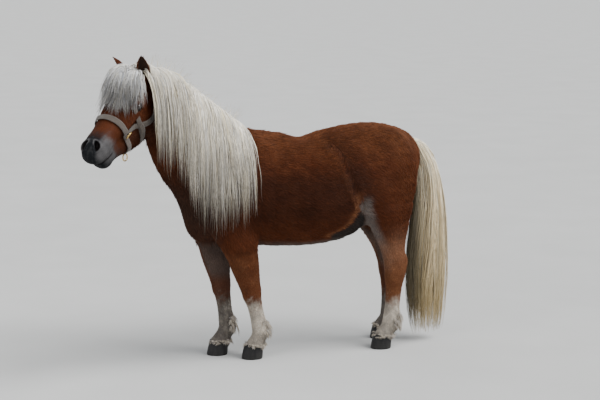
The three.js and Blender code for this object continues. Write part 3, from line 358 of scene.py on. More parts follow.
@dataclass
class Body:
    """The whole form of the flesh, as one smooth field of swept ellipses."""

    head: HeadFrame = field(default_factory=HeadFrame)
    withers: float = 912.0
    croup: float = 950.0
    belly: float = 450.0
    neck_wide: Triple = (0.97, 0.24, 0.0)
    eye: Triple = (124.0, 60.0, 4.0)
    eye_radius: float = 18.0
    neck_rows: Rows = (
        (0, -150, 742, 120, 214), (2, -238, 818, 104, 192), (8, -306, 890, 88, 168),
        (20, -362, 973, 76, 145), (38, -414, 1047, 66, 118), (58, -462, 1099, 56, 90),
    )
    tail_rows: Rows = (
        (6, 658, 860, 20, 20), (8, 684, 852, 30, 26), (9, 708, 815, 40, 38), (10, 734, 738, 53, 48),
        (10, 750, 600, 64, 66), (10, 746, 434, 70, 86), (10, 742, 261, 70, 96), (10, 742, 130, 66, 97),
        (10, 744, 30, 56, 86),
    )

    def __post_init__(self) -> None:
        """Builds the field and finds how far the solids are shifted."""
        self.legs = {
            "fore_left": Leg((88, -116, 478), (66, -60, 272), (57, -21, 108), (55, -44, 50), True),
            "fore_right": Leg((-88, -178, 482), (-64, -150, 284), (-56, -129, 112), (-54, -160, 50), True),
            "hind_left": Leg((100, 524, 590), (87, 564, 345), (83, 548, 106), (83, 516, 50), False),
            "hind_right": Leg((-100, 528, 592), (-86, 606, 345), (-78, 608, 106), (-78, 580, 50), False),
        }
        self.trunk = self.trunk_shape()
        self.neck = Sweep(self.neck_rows, lateral=self.neck_wide, egg=0.2)
        self.skull = Placed(self.skull_shape(), self.head.axes, self.head.origin)
        limbs = [(self.limb_shape(leg), 34.0 if leg.fore else 44.0) for leg in self.legs.values()]
        self.flesh = Joined(self.trunk, [(self.neck, 70.0), (self.skull, 34.0), *limbs])
        low, high = (np.array(corner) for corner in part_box("eye_left"))
        self.shift = (low + high) / 2 - self.head.place(self.eye[0], self.eye[1], self.eye[2])

    def trunk_shape(self) -> Joined:
        """Barrel, chest and rump, with withers, breast and sheath."""
        w, c, b = self.withers, self.croup, self.belly
        barrel = Sweep([
            (0, -262, 628, 62, 76),
            (0, -205, 640, 110, 140),
            (0, -85, (w + 455) / 2 - 8, 138, 212),
            (0, 60, (902 + b) / 2, 164, 224),
            (0, 200, (900 + b - 4) / 2, 187, 226),
            (0, 305, (926 + 462) / 2, 186, 230),
            (0, 400, (946 + 535) / 2, 170, 205),
            (0, 490, (c - 2 + 610) / 2, 148, 168),
            (0, 585, (920 + 650) / 2, 112, 135),
            (0, 640, 790, 66, 82),
        ], egg=-0.06)
        withers = Ball((0, 20, 850), (44, 110, 66))
        breast = Ball((0, -252, 566), (80, 62, 80))
        sheath = Ball((0, 380, 512), (30, 56, 26), (12, 0, 0))
        return Joined(barrel, [(withers, 60.0), (breast, 50.0), (sheath, 24.0)])

    def skull_shape(self) -> Joined:
        """Skull, jaw, cheeks, brows, nostril wings and ear roots, in the head's own frame."""

        def along_head(rows: Rows, lefts: Sequence[float] = ()) -> Sweep:
            """A sweep of rows [along, up, half width, half depth]."""
            shifts = list(lefts) or [0.0] * len(rows)
            placed = [(a, side, up, wide, deep) for (a, up, wide, deep), side in zip(rows, shifts)]
            return Sweep(placed, lateral=(0.0, 1.0, 0.0))

        upper = along_head([
            (-14, -8, 52, 50), (45, -2, 70, 58), (105, -2, 79, 60), (165, -1, 68, 59),
            (230, -4, 58, 54), (290, -5, 52, 48), (340, -7, 55, 48), (380, -15, 49, 39),
        ])
        jaw = along_head([
            (34, -76, 46, 74), (92, -88, 52, 78), (155, -88, 47, 72), (225, -80, 38, 56),
            (285, -70, 35, 45), (335, -66, 40, 34), (364, -68, 34, 24),
        ])
        pieces = [(jaw, 28.0), (Ball((350, 0, -86), (27, 28, 18)), 10.0)]
        for side in (-1, 1):
            crest_rows = [(140, -16, 9, 9), (185, -22, 8, 8), (232, -28, 6, 6)]
            crest = along_head(crest_rows, [side * 64, side * 58, side * 51])
            pieces += [
                (Ball((86, side * 46, -70), (68, 28, 80)), 22.0),
                (Ball((116, side * 60, 32), (32, 16, 13), (0, 0, side * -12)), 14.0),
                (crest, 14.0),
                (Ball((362, side * 31, 0), (27, 20, 28), (0, 0, side * 16)), 12.0),
                (Ball((-2, side * 42, 24), (26, 24, 24)), 22.0),
            ]
        return Joined(upper, pieces)

    def limb_shape(self, leg: Leg) -> Joined:
        """A leg with the muscle that it grows from."""
        rows = []
        for start, end, girths in FORE_GIRTHS if leg.fore else HIND_GIRTHS:
            a, b = np.array(getattr(leg, start), float), np.array(getattr(leg, end), float)
            for share, wide, deep, forward in girths:
                x, y, z = a + (b - a) * share
                rows.append((x, y - forward, z, wide, deep))
        bone = Sweep(rows)
        side = leg.side
        x, y, z = leg.upper
        if leg.fore:
            muscle = Sweep([
                (side * 62, -30, 850, 42, 70),
                (side * 94, -100, 740, 52, 92),
                (side * 106, -185, 640, 50, 82),
                (side * 100, -160, 560, 52, 84),
                (x, y, z, 52, 70),
            ])
            return Joined(muscle, [(bone, 24.0)])
        muscle = Sweep([
            (side * 78, 500, 860, 62, 96),
            (side * 92, 520, 770, 76, 128),
            (side * 98, 516, 680, 74, 132),
            (x, y, z, 62, 100),
        ])
        hx, hy, hz = leg.middle
        heel_bone = Ball((hx, hy + 30, hz + 26), (20, 24, 34), (12, 0, 0))
        return Joined(muscle, [(Joined(bone, [(heel_bone, 18.0)]), 24.0)])

    def slope(self, points: Array) -> Array:
        """The field's gradient at each point."""
        return gradient(self.flesh.distance, points)

    def to_skin(self, starts: Array, ways: Array, level: float = 0.0) -> Array:
        """The first points where rays from inside leave the flesh.

        Args:
            starts: Where the rays begin.
            ways: Their directions, of length one.
            level: Height over the skin to stop at, in metres.

        Returns:
            One point for each ray.
        """
        stride = 0.005
        far = np.zeros(len(starts))
        going = np.ones(len(starts), bool)
        for _ in range(80):
            value = self.flesh.distance(starts + ways * far[:, None])
            going &= value < level
            if not going.any():
                break
            far[going] += stride
        near = np.maximum(far - stride, 0.0)
        for _ in range(18):
            middle = (near + far) / 2
            inside = self.flesh.distance(starts + ways * middle[:, None]) < level
            near = np.where(inside, middle, near)
            far = np.where(inside, far, middle)
        return starts + ways * near[:, None]


# Meshes


def make_object(name: str, points: Array, faces: Array, body: Body, smooth: bool = True) -> Piece:
    """A mesh object in the solids' frame.

    Args:
        name: The piece's name.
        points: Vertices in the body's frame, in metres.
        faces: Rows of three or four vertex numbers.
        body: The form that knows the shift.
        smooth: Whether the faces are shaded smooth.

    Returns:
        The object, linked to the scene.
    """
    mesh = bpy.data.meshes.new(name)
    count, size = faces.shape
    mesh.vertices.add(len(points))
    mesh.vertices.foreach_set("co", (points + body.shift).astype(np.float32).ravel())
    mesh.loops.add(count * size)
    mesh.loops.foreach_set("vertex_index", faces.astype(np.int32).ravel())
    mesh.polygons.add(count)
    mesh.polygons.foreach_set("loop_start", np.arange(0, count * size, size, dtype=np.int32))
    mesh.polygons.foreach_set("use_smooth", np.full(count, smooth))
    mesh.update(calc_edges=True)
    mesh.validate()
    made = bpy.data.objects.new(name, mesh)
    bpy.context.scene.collection.objects.link(made)
    return made


def set_colors(made: Piece, colors: Array, name: str = "Coat") -> None:
    """Stores a colour for each vertex."""
    layer = made.data.color_attributes.new(name, "FLOAT_COLOR", "POINT")
    rgba = np.ones((len(colors), 4), np.float32)
    rgba[:, :3] = colors
    layer.data.foreach_set("color", rgba.ravel())


def set_corner_uv(made: Piece, uv: Array, name: str) -> None:
    """Stores a UV map from one pair of numbers for each vertex."""
    layer = made.data.uv_layers.new(name=name)
    corners = np.empty(len(made.data.loops), np.int32)
    made.data.loops.foreach_get("vertex_index", corners)
    layer.data.foreach_set("uv", uv[corners].astype(np.float32).ravel())


def tube_faces(rings: int, around: int, closed: bool = False) -> Array:
    """Four-sided faces over rings of points, without end caps.

    Args:
        rings: How many rings there are.
        around: Points in each ring.
        closed: Whether the last ring joins the first.

    Returns:
        Rows of four vertex numbers.
    """
    r = np.arange(rings if closed else rings - 1)[:, None]
    k = np.arange(around)[None, :]
    after = (r + 1) % rings
    turn = (k + 1) % around
    quads = np.stack([r * around + k, r * around + turn, after * around + turn, after * around + k], -1)
    return quads.reshape(-1, 4)


def in_triangles(quads: Array, flip: bool = False) -> Array:
    """Four-sided faces cut into triangles, turned over if flip is set."""
    halves = ([0, 2, 1], [0, 3, 2]) if flip else ([0, 1, 2], [0, 2, 3])
    return np.concatenate([quads[:, half] for half in halves])


def fan(middle: int, first: int, around: int) -> Array:
    """Triangles from a middle vertex to a ring of vertices that starts at the first."""
    k = np.arange(around)
    return np.stack([np.full_like(k, middle), first + k, first + (k + 1) % around], 1)


@dataclass
class Net:
    """A surface net: a grid of field values turned into four-sided faces."""

    cell: float
    low: Array
    high: Array
    blocks: int = 4

    def build(self, distance: Callable[[Array], Array]) -> tuple[Array, Array]:
        """Works out the net.

        Args:
            distance: The field to follow.

        Returns:
            Vertices, and rows of four vertex numbers.
        """
        coarse = self.cell * self.blocks
        counts = np.ceil((self.high - self.low) / coarse).astype(int) + 1
        rough = self.sample(distance, counts, coarse)
        near = np.abs(rough) < coarse * 2.0
        grown = near.copy()
        for axis in range(3):
            for way in (-1, 1):
                grown |= np.roll(near, way, axis=axis)
        fine_counts = (counts - 1) * self.blocks + 1
        index = []
        for fine, few in zip(fine_counts, counts):
            index.append(np.minimum(np.round(np.arange(fine) / self.blocks).astype(int), few - 1))
        values = rough[np.ix_(*index)]
        wanted = np.argwhere(grown[np.ix_(*index)])
        points = self.low + wanted * self.cell
        values[tuple(wanted.T)] = in_chunks(distance, points)
        return self.surface(values)

    def sample(self, distance: Callable[[Array], Array], counts: Array, step: float) -> Array:
        """Values of the field on a grid."""
        axes = [np.arange(n) * step + lo for n, lo in zip(counts, self.low)]
        points = np.stack(np.meshgrid(*axes, indexing="ij"), axis=-1).reshape(-1, 3)
        return in_chunks(distance, points).reshape(tuple(counts))

    def surface(self, values: Array) -> tuple[Array, Array]:
        """The net of a full grid of values."""
        inside = values < 0
        corners = [(a, b, c) for a in (0, 1) for b in (0, 1) for c in (0, 1)]
        shape = tuple(n - 1 for n in values.shape)
        held = np.zeros(shape, np.uint8)
        for a, b, c in corners:
            held += inside[a : a + shape[0], b : b + shape[1], c : c + shape[2]]
        cells = np.argwhere((held > 0) & (held < 8))
        number = np.full(shape, -1, np.int64)
        number[tuple(cells.T)] = np.arange(len(cells))
        total = np.zeros((len(cells), 3))
        hits = np.zeros(len(cells))
        for start in corners:
            for axis in range(3):
                if start[axis] == 1:
                    continue
                end = list(start)
                end[axis] = 1
                va = values[tuple((cells + start).T)]
                vb = values[tuple((cells + end).T)]
                crosses = (va < 0) != (vb < 0)
                t = np.where(crosses, va / np.where(crosses, va - vb, 1.0), 0.0)
                place = cells + start + np.outer(t, np.array(end) - np.array(start))
                total += place * crosses[:, None]
                hits += crosses
        points = self.low + total / hits[:, None] * self.cell
        return points, np.concatenate([self.quads_across(inside, number, axis) for axis in range(3)])

    def quads_across(self, inside: Array, number: Array, axis: int) -> Array:
        """The faces that stand across the grid's edges along one axis."""
        u, v = (axis + 1) % 3, (axis + 2) % 3
        before = np.moveaxis(inside, (axis, u, v), (0, 1, 2))
        cells = np.moveaxis(number, (axis, u, v), (0, 1, 2))
        change = before[:-1, 1:-1, 1:-1] != before[1:, 1:-1, 1:-1]
        i, j, k = np.nonzero(change)
        j += 1
        k += 1
        quads = np.stack([cells[i, j, k], cells[i, j - 1, k], cells[i, j - 1, k - 1], cells[i, j, k - 1]], 1)
        out = before[i, j, k]
        return np.where(out[:, None], quads, quads[:, ::-1])


def in_chunks(distance: Callable[[Array], Array], points: Array, size: int = 60000) -> Array:
    """Field values worked out a chunk at a time, which is quicker."""
    parts = [distance(points[i : i + size]) for i in range(0, len(points), size)]
    return np.concatenate(parts)


def mesh_normals(points: Array, faces: Array) -> Array:
    """A normal for each vertex of a mesh of three- or four-sided faces."""
    a, b = points[faces[:, 0]], points[faces[:, 1]]
    c, d = points[faces[:, 2]], points[faces[:, -1]]
    across = np.cross(c - a, d - b) if faces.shape[1] == 4 else np.cross(b - a, c - a)
    total = np.zeros_like(points)
    for k in range(faces.shape[1]):
        np.add.at(total, faces[:, k], across)
    return unit(total)


def smooth_points(points: Array, faces: Array, rounds: int, share: float = 0.5) -> Array:
    """Moves each vertex toward the middle of its neighbours."""
    starts = faces.ravel()
    ends = np.roll(faces, -1, axis=1).ravel()
    count = np.bincount(starts, minlength=len(points)) + np.bincount(ends, minlength=len(points))
    moved = points.copy()
    for _ in range(rounds):
        for k in range(3):
            total = np.bincount(starts, moved[ends, k], len(points))
            total += np.bincount(ends, moved[starts, k], len(points))
            moved[:, k] += share * (total / np.maximum(count, 1) - moved[:, k])
    return moved


def refine(points: Array, faces: Array, wanted: Callable[[Array], Array]) -> tuple[Array, Array]:
    """Splits the edges of chosen faces in two.

    Args:
        points: Vertices, in metres.
        faces: Rows of vertex numbers.
        wanted: Tells from points which of them lie in the region to refine.

    Returns:
        Vertices, and rows of three vertex numbers.
    """
    mesh = bpy.data.meshes.new("refined")
    mesh.from_pydata(points.tolist(), [], faces.tolist())
    work = bmesh.new()
    work.from_mesh(mesh)
    inside = wanted(points)
    work.verts.ensure_lookup_table()
    edges = [e for e in work.edges if inside[e.verts[0].index] and inside[e.verts[1].index]]
    bmesh.ops.subdivide_edges(work, edges=edges, cuts=1, use_grid_fill=True)
    bmesh.ops.triangulate(work, faces=work.faces[:])
    work.to_mesh(mesh)
    work.free()
    made = np.empty(len(mesh.vertices) * 3)
    mesh.vertices.foreach_get("co", made)
    corners = np.empty(len(mesh.loops), np.int64)
    mesh.loops.foreach_get("vertex_index", corners)
    bpy.data.meshes.remove(mesh)
    return made.reshape(-1, 3), corners.reshape(-1, 3)


# Finishes


@dataclass(frozen=True)
class Finish:
    """A material whose colour, roughness and relief come from noises.

    Attributes:
        name: The material's name.
        color: Colour where no painted colour is used.
        painted: Whether the colour is multiplied by the mesh's own painted colour.
        mottle: How strongly the colour varies, and the size of the patches in metres.
        rough: Roughness.
        relief: Height of the bump in metres, and the size of its grain in metres.
        stretch: How the grain is drawn out along x, y and z.
        metal: How metallic the surface is.
        gloss: Weight of a clear coat.
        specular: Strength of the mirror reflection.
    """

    name: str
    color: Triple = (1.0, 1.0, 1.0)
    painted: bool = False
    mottle: tuple[float, float] = (0.2, 0.02)
    rough: float = 0.7
    relief: tuple[float, float] = (0.0005, 0.004)
    stretch: Triple = (1.0, 1.0, 1.0)
    metal: float = 0.0
    gloss: float = 0.0
    specular: float = 0.5

    def build(self) -> bpy.types.Material:
        """Builds the material."""
        painter = Painter(self.name)
        shader = painter.shader
        where = painter.coordinates(self.stretch)
        amount, size = self.mottle
        patches = painter.noise(where, 1.0 / size, 5.0)
        grain = painter.noise(where, 1.0 / self.relief[1], 3.0)
        shade = painter.vary(patches, 1.0 - amount, 1.0 + amount)
        fine = painter.vary(grain, 1.0 - amount / 2, 1.0 + amount / 2)
        both = painter.math("MULTIPLY", shade, fine)
        color = painter.tint(both, self.color)
        if self.painted:
            color = painter.product(color, painter.painted("Coat"))
        painter.link(color, shader.inputs["Base Color"])
        spread = painter.vary(grain, max(self.rough - 0.1, 0.02), min(self.rough + 0.1, 1.0))
        painter.link(spread, shader.inputs["Roughness"])
        painter.bump(grain, self.relief[0])
        shader.inputs["Metallic"].default_value = self.metal
        shader.inputs["Coat Weight"].default_value = self.gloss
        shader.inputs["Coat Roughness"].default_value = 0.04
        shader.inputs["Specular IOR Level"].default_value = self.specular
        return painter.material


@dataclass(frozen=True)
class WovenFinish:
    """Webbing: a fine rib across the strap, darker stitched edges and worn patches.

    The strap's UV map tells the place along it and across it, in metres.
    """

    name: str = "webbing"
    color: Triple = (0.088, 0.070, 0.056)
    thread: Triple = (0.17, 0.14, 0.11)
    rib: float = 0.0022
    stitch: float = 0.0045
    width: float = 0.023
    relief: float = 0.0005

    def build(self) -> bpy.types.Material:
        """Builds the material."""
        painter = Painter(self.name)
        shader = painter.shader
        along, across = painter.strap_place()
        ribs = painter.wave(along, self.rib)
        threads = painter.wave(across, self.rib * 0.8)
        weave = painter.math("MULTIPLY", ribs, threads)
        where = painter.coordinates((1.0, 1.0, 1.0))
        worn = painter.noise(where, 60.0, 4.0)
        edge = painter.math("ABSOLUTE", painter.math("SUBTRACT", across, self.width / 2))
        seam = painter.spread(edge, self.width * 0.36, self.width * 0.39, 0.0, 1.0)
        rim = painter.spread(edge, self.width * 0.40, self.width * 0.43, 1.0, 0.0)
        stitched = painter.math("MULTIPLY", seam, rim)
        gap = painter.spread(painter.wave(along, self.stitch), 0.45, 0.6, 0.0, 1.0)
        stitches = painter.math("MULTIPLY", stitched, gap)
        shade = painter.spread(weave, 0.0, 1.0, 0.72, 1.12)
        shade = painter.math("MULTIPLY", shade, painter.vary(worn, 0.8, 1.15))
        color = painter.blend(stitches, painter.tint(shade, self.color), self.thread)
        painter.link(color, shader.inputs["Base Color"])
        height = painter.math("ADD", weave, painter.math("MULTIPLY", stitches, 0.9))
        painter.bump(height, self.relief)
        painter.link(painter.vary(worn, 0.8, 0.95), shader.inputs["Roughness"])
        shader.inputs["Sheen Weight"].default_value = 0.15
        return painter.material


class Painter:
    """Builds the node tree of one material."""

    def __init__(self, name: str) -> None:
        """Starts a material with one principled shader."""
        self.material = bpy.data.materials.new(name)
        self.material.use_nodes = True
        self.tree = self.material.node_tree
        self.shader = self.tree.nodes["Principled BSDF"]

    def link(self, output: Socket, socket: Socket) -> None:
        """Joins an output to a socket."""
        self.tree.links.new(output, socket)

    def feed(self, value: object, socket: Socket) -> None:
        """Gives a socket a number, or joins an output to it."""
        if isinstance(value, Socket):
            self.link(value, socket)
        else:
            socket.default_value = value

    def add(self, kind: str, out: str | int, feeds: dict[str | int, object], **options: object) -> Socket:
        """Adds a node.

        Args:
            kind: The kind of node.
            out: Which of its outputs is wanted.
            feeds: What goes into its inputs: numbers, colours or outputs.
            **options: Its own options.

        Returns:
            The output.
        """
        made = self.tree.nodes.new("ShaderNode" + kind)
        for name, value in options.items():
            setattr(made, name, value)
        for name, value in feeds.items():
            self.feed(value, made.inputs[name])
        return made.outputs[out]

    def coordinates(self, stretch: Triple) -> Socket:
        """Places on the object, with each axis scaled."""
        place = self.add("TexCoord", "Object", {})
        return self.add("Mapping", "Vector", {"Vector": place, "Scale": stretch})

    def noise(self, where: Socket, scale: float, detail: float) -> Socket:
        """A soft noise between 0 and 1."""
        return self.add("TexNoise", "Fac", {"Vector": where, "Scale": scale, "Detail": detail})

    def math(self, kind: str, first: object, second: object = 0.0) -> Socket:
        """One step of arithmetic."""
        return self.add("Math", 0, {0: first, 1: second}, operation=kind)

    def spread(self, value: object, low: float, high: float, to_low: float, to_high: float) -> Socket:
        """A value brought from one range into another and kept there."""
        ranges = {"From Min": low, "From Max": high, "To Min": to_low, "To Max": to_high}
        return self.add("MapRange", "Result", {"Value": value, **ranges})

    def vary(self, noise: Socket, low: float, high: float) -> Socket:
        """A noise drawn out over a range."""
        return self.spread(noise, 0.3, 0.7, low, high)

    def tint(self, shade: Socket, color: Triple) -> Socket:
        """A colour made lighter or darker by a number."""
        return self.add("VectorMath", "Vector", {0: color, "Scale": shade}, operation="SCALE")

    def product(self, first: Socket, second: Socket) -> Socket:
        """Two colours multiplied."""
        return self.add("VectorMath", "Vector", {0: first, 1: second}, operation="MULTIPLY")

    def blend(self, share: Socket, first: Socket, second: Triple) -> Socket:
        """A colour moved toward a plain one, by a share between 0 and 1."""
        return self.add("Mix", 2, {0: share, 6: first, 7: (*second, 1.0)}, data_type="RGBA")

    def painted(self, name: str) -> Socket:
        """The colour painted on the mesh."""
        return self.add("Attribute", "Color", {}, attribute_name=name)

    def strap_place(self) -> list[Socket]:
        """Places along and across a strap, in metres."""
        place = self.add("UVMap", "UV", {}, uv_map="Strap")
        return [self.add("SeparateXYZ", axis, {"Vector": place}) for axis in "XY"]

    def wave(self, value: Socket, period: float) -> Socket:
        """A wave between 0 and 1 over a place in metres."""
        turns = self.math("SINE", self.math("MULTIPLY", value, 2 * math.pi / period))
        return self.spread(turns, -1.0, 1.0, 0.0, 1.0)

    def bump(self, height: Socket, distance: float) -> None:
        """Lets a height shade the surface as relief of a depth in metres."""
        feeds = {"Height": height, "Strength": 1.0, "Distance": distance}
        self.link(self.add("Bump", "Normal", feeds), self.shader.inputs["Normal"])


COAT = Finish("chestnut_coat", painted=True, mottle=(0.16, 0.03), rough=0.6, relief=(0.0011, 0.0035),
              stretch=(1.0, 0.35, 0.6), specular=0.05)
MANE_HAIR = Finish("mane_hair", painted=True, mottle=(0.08, 0.02), rough=0.5, relief=(0.0002, 0.002),
                   stretch=(1.0, 1.0, 0.08), specular=0.3)
TAIL_HAIR = Finish("tail_hair", painted=True, mottle=(0.1, 0.025), rough=0.5, relief=(0.0002, 0.002),
                   stretch=(1.0, 1.0, 0.06), specular=0.3)
FEATHER_HAIR = Finish("feather_hair", painted=True, mottle=(0.12, 0.015), rough=0.6,
                      relief=(0.0003, 0.002), stretch=(1.0, 1.0, 0.1), specular=0.25)
HORN = Finish("hoof_horn", painted=True, mottle=(0.2, 0.012), rough=0.5, relief=(0.0006, 0.0035),
              stretch=(1.0, 1.0, 0.22), specular=0.2)
EYE = Finish("eye", painted=True, mottle=(0.08, 0.003), rough=0.1, relief=(0.00005, 0.002),
             gloss=1.0, specular=0.1)
BRASS = Finish("brass", (0.62, 0.42, 0.15), mottle=(0.18, 0.008), rough=0.32, relief=(0.0001, 0.002),
               metal=1.0)
WEBBING = WovenFinish()
FLOOR = Finish("pale_floor", (0.44, 0.44, 0.43), mottle=(0.03, 0.4), rough=0.8, relief=(0.0002, 0.01),
               specular=0.2)


# Markings


@dataclass
class Markings:
    """The colours of coat, skin and hair, by place on the body."""

    body: Body
    chestnut: Triple = (0.060, 0.0165, 0.0062)
    dark: Triple = (0.017, 0.0060, 0.0030)
    gold: Triple = (0.140, 0.055, 0.024)
    white: Triple = (0.52, 0.46, 0.38)
    grey: Triple = (0.085, 0.073, 0.064)
    # The muzzle's grey front, darkened as painted shade.
    shaded_slate: Triple = (0.008, 0.009, 0.0105)
    ash: Triple = (0.100, 0.096, 0.097)
    gaskin: Triple = (0.24, 0.115, 0.066)
    # Painted shade: the chest darker and greyer, as it faces away from the light.
    breast: Triple = (0.030, 0.019, 0.014)
    # Painted shade under the jaw.
    jaw: Triple = (0.014, 0.0085, 0.006)
    # Painted shade in the nostrils' openings.
    hole: Triple = (0.004, 0.003, 0.003)
    lid: Triple = (0.012, 0.009, 0.008)
    lip: Triple = (0.012, 0.009, 0.009)
    # Painted shade in the fold between the belly and the hind leg.
    groin_shade: Triple = (0.018, 0.016, 0.015)
    # Painted reflection of the sky on the shaded front of the thigh.
    stifle_reflection: Triple = (0.115, 0.098, 0.088)
    # The sheath: partly its dark skin, partly painted shade.
    sheath: Triple = (0.008, 0.007, 0.007)
    ear_cup: Triple = (0.035, 0.024, 0.018)
    whorl: Rows = ((0.60, 0.372), (0.624, 0.362), (0.691, 0.323), (0.797, 0.281), (0.886, 0.238))
    rim: Rows = ((0.507, 0.259), (0.521, 0.304), (0.55, 0.343), (0.622, 0.374), (0.66, 0.378))
    stifle: Rows = ((0.38, 0.503), (0.44, 0.483), (0.49, 0.452), (0.546, 0.420), (0.62, 0.388))

    def from_whorl(self, points: Array) -> Array:
        """How far behind the flank's parting each point lies, in metres."""
        heights, places = np.array(self.whorl).T
        return points[:, 1] - np.interp(points[:, 2], heights, places)

    def coat(self, points: Array) -> Array:
        """Colours of the coat and of the skin under it, with painted highlights and shade.

        Args:
            points: Places in the body's frame.

        Returns:
            One linear colour for each place.
        """
        x, y, z = points.T
        on_head = self.body.head.local(points)
        along, left, up = on_head.T
        cloud = wander(points, 0.22, 3)
        streak = wander(points * np.array([1.0, 0.4, 1.0]), 0.05, 5)
        color = np.tile(np.array(self.chestnut), (len(points), 1))
        is_head = ramp(-20, 30, along) * ramp(-260, -120, up) * (y < -0.4)
        trunk = (1 - is_head) * ramp(0.36, 0.5, z)
        # Painted highlights: gold on the top of the back and on the upper rump where the light falls, mixed
        # with clouds and streaks of the coat's own tone.
        back = ramp(0.76, 0.92, z) * ramp(-0.25, 0.0, y)
        rear = ramp(0.35, 0.55, y) * ramp(0.5, 0.7, z)
        gold_and_highlight = back * 0.30 + 0.12 * rear + 0.10 * np.clip(cloud, -1, 1) + 0.10 * streak
        color = mixed(color, self.gold, gold_and_highlight)
        # Painted shade: the middle of the barrel darkened, together with random darker clouds of the coat's
        # own tone.
        barrel_shade = ramp(0.84, 0.72, z) * ramp(0.46, 0.32, y) * ramp(0.50, 0.62, z) * trunk
        color = mixed(color, self.dark, 0.62 * barrel_shade + 0.14 * np.clip(-cloud, -1, 1) * trunk)
        color = self.flank(color, points)
        line, inward = self.leg_lines(points)
        outer = ramp(0.50, 0.40, z) * ramp(0.02, -0.01, inward)
        color = mixed(color, self.gold, outer * (0.34 + 0.36 * (y > 0.2) + 0.25 * streak))
        gaskin = np.exp(-(((z - 0.43) / 0.07) ** 2 + ((y - 0.55) / 0.06) ** 2))
        color = mixed(color, self.gaskin, 0.55 * gaskin)
        inner = ramp(-0.002, 0.022, inward) * ramp(0.50, 0.46, z) * (np.abs(x) > 0.01)
        inner *= (0.25 + 0.75 * ramp(0.30, 0.36, z)) * ramp(0.12, 0.09, inward)
        color = mixed(color, self.grey, 0.62 * inner * (1 - is_head))
        # Painted shade: the chest darker and greyer, as it faces away from the light.
        chest = ramp(-0.18, -0.26, y) * ramp(0.90, 0.60, z) * ramp(0.42, 0.5, z)
        color = mixed(color, self.breast, chest * (1 - is_head) * 0.55)
        edge = np.where(y > 0.2, 0.200, 0.236) + 0.026 * wander(points, 0.06, 9)
        edge = edge + 0.018 * wander(points, 0.017, 10)
        stocking = ramp(0.035, -0.04, z - edge)
        # The stockings: white with random grey, painted greyer on the right legs as shade.
        lower = mixed(np.tile(np.array(self.white), (len(points), 1)), self.grey,
                      0.30 + 0.3 * wander(points, 0.04, 13) + 0.60 * (x < 0))
        # Painted shade: the front of each stocking greyer.
        front = ramp(0.01, -0.03, y - line)
        lower = mixed(lower, self.grey, 0.30 * front * ramp(0.1, 0.2, z))
        lower = mixed(lower, self.grey, (0.45 + 0.3 * wander(points, 0.02, 19)) * ramp(0.13, 0.07, z))
        color = color * (1 - stocking[:, None]) + lower * stocking[:, None]
        # The muzzle: its front painted dark as shade, its sides paler grey.
        blotch = wander(points, 0.03, 17)
        nose = ramp(283, 345, along + 16 * blotch - 0.25 * up) * is_head
        pale = 0.03 + 0.78 * ramp(24, 46, np.abs(left)) + 0.2 * blotch
        muzzle = mixed(np.tile(np.array(self.shaded_slate), (len(points), 1)), self.ash, pale)
        color = color * (1 - nose[:, None]) + muzzle * nose[:, None]
        # Painted highlight on the rear rims of the nostrils.
        color = mixed(color, self.ash, 0.8 * self.rim_highlight_share(on_head))
        # Painted shade in the nostrils' openings.
        color = mixed(color, self.hole, self.nostril_share(on_head))
        # Painted shade under the jaw.
        jaw = ramp(-55, -95, up) * ramp(20, 60, along) * ramp(330, 280, along) * is_head
        color = mixed(color, self.jaw, 0.45 * jaw)
        color = mixed(color, self.lid, self.eye_share(on_head))
        lips = np.exp(-(((up + 53) / 2.6) ** 2)) * ramp(318, 332, along)
        return mixed(color, self.lip, lips * 0.8)

    def flank(self, color: Array, points: Array) -> Array:
        """The coat's colours with painted shade and highlight at the flank's parting, its pale rim, painted
        shade in the groin's fold, a painted sky reflection on the stifle, and the sheath's dark skin with
        painted shade.
        """
        x, y, z = points.T
        parting = self.from_whorl(points)
        waves = wander(points * np.array([1.0, 1.0, 0.3]), 0.012, 35)
        on_flank = ramp(0.58, 0.66, z) * ramp(0.96, 0.86, z) * (y > 0)
        # Painted shade in a band behind the flank's parting, and a painted highlight along the parting.
        band = ramp(-0.012, 0.012, parting) * ramp(0.15, 0.06, parting) * on_flank
        color = mixed(color, self.dark, band * (0.42 + 0.35 * waves))
        color = mixed(color, self.gold, 0.22 * np.exp(-(((parting + 0.006) / 0.012) ** 2)) * on_flank)
        heights, places = np.array(self.rim).T
        past = y - np.interp(z, heights, places)
        heights, places = np.array(self.stifle).T
        before = y - np.interp(z, heights, places)
        low = ramp(0.70, 0.64, z) * ramp(0.485, 0.50, z)
        color = mixed(color, self.gold, 0.85 * np.exp(-(((past + 0.012) / 0.013) ** 2)) * low)
        # Painted shade in the groin's fold.
        fold = ramp(-0.004, 0.010, past) * ramp(0.004, -0.012, before)
        fold *= ramp(0.66, 0.63, z)
        color = mixed(color, self.groin_shade, 0.92 * fold * (y > 0.2) * (z > 0.42))
        # Painted reflection of the sky on the shaded front of the thigh.
        stifle_reflection = ramp(-0.012, 0.004, before) * ramp(0.052, 0.018, before)
        stifle_reflection *= ramp(0.68, 0.62, z) * ramp(0.30, 0.40, z) * (y > 0.2)
        color = mixed(color, self.stifle_reflection, 0.85 * stifle_reflection)
        # The sheath: partly its dark skin, partly painted shade.
        sheath = np.exp(-(((y - 0.385) / 0.045) ** 2 + (x / 0.035) ** 2)) * ramp(0.525, 0.50, z)
        return mixed(color, self.sheath, sheath * 1.4)

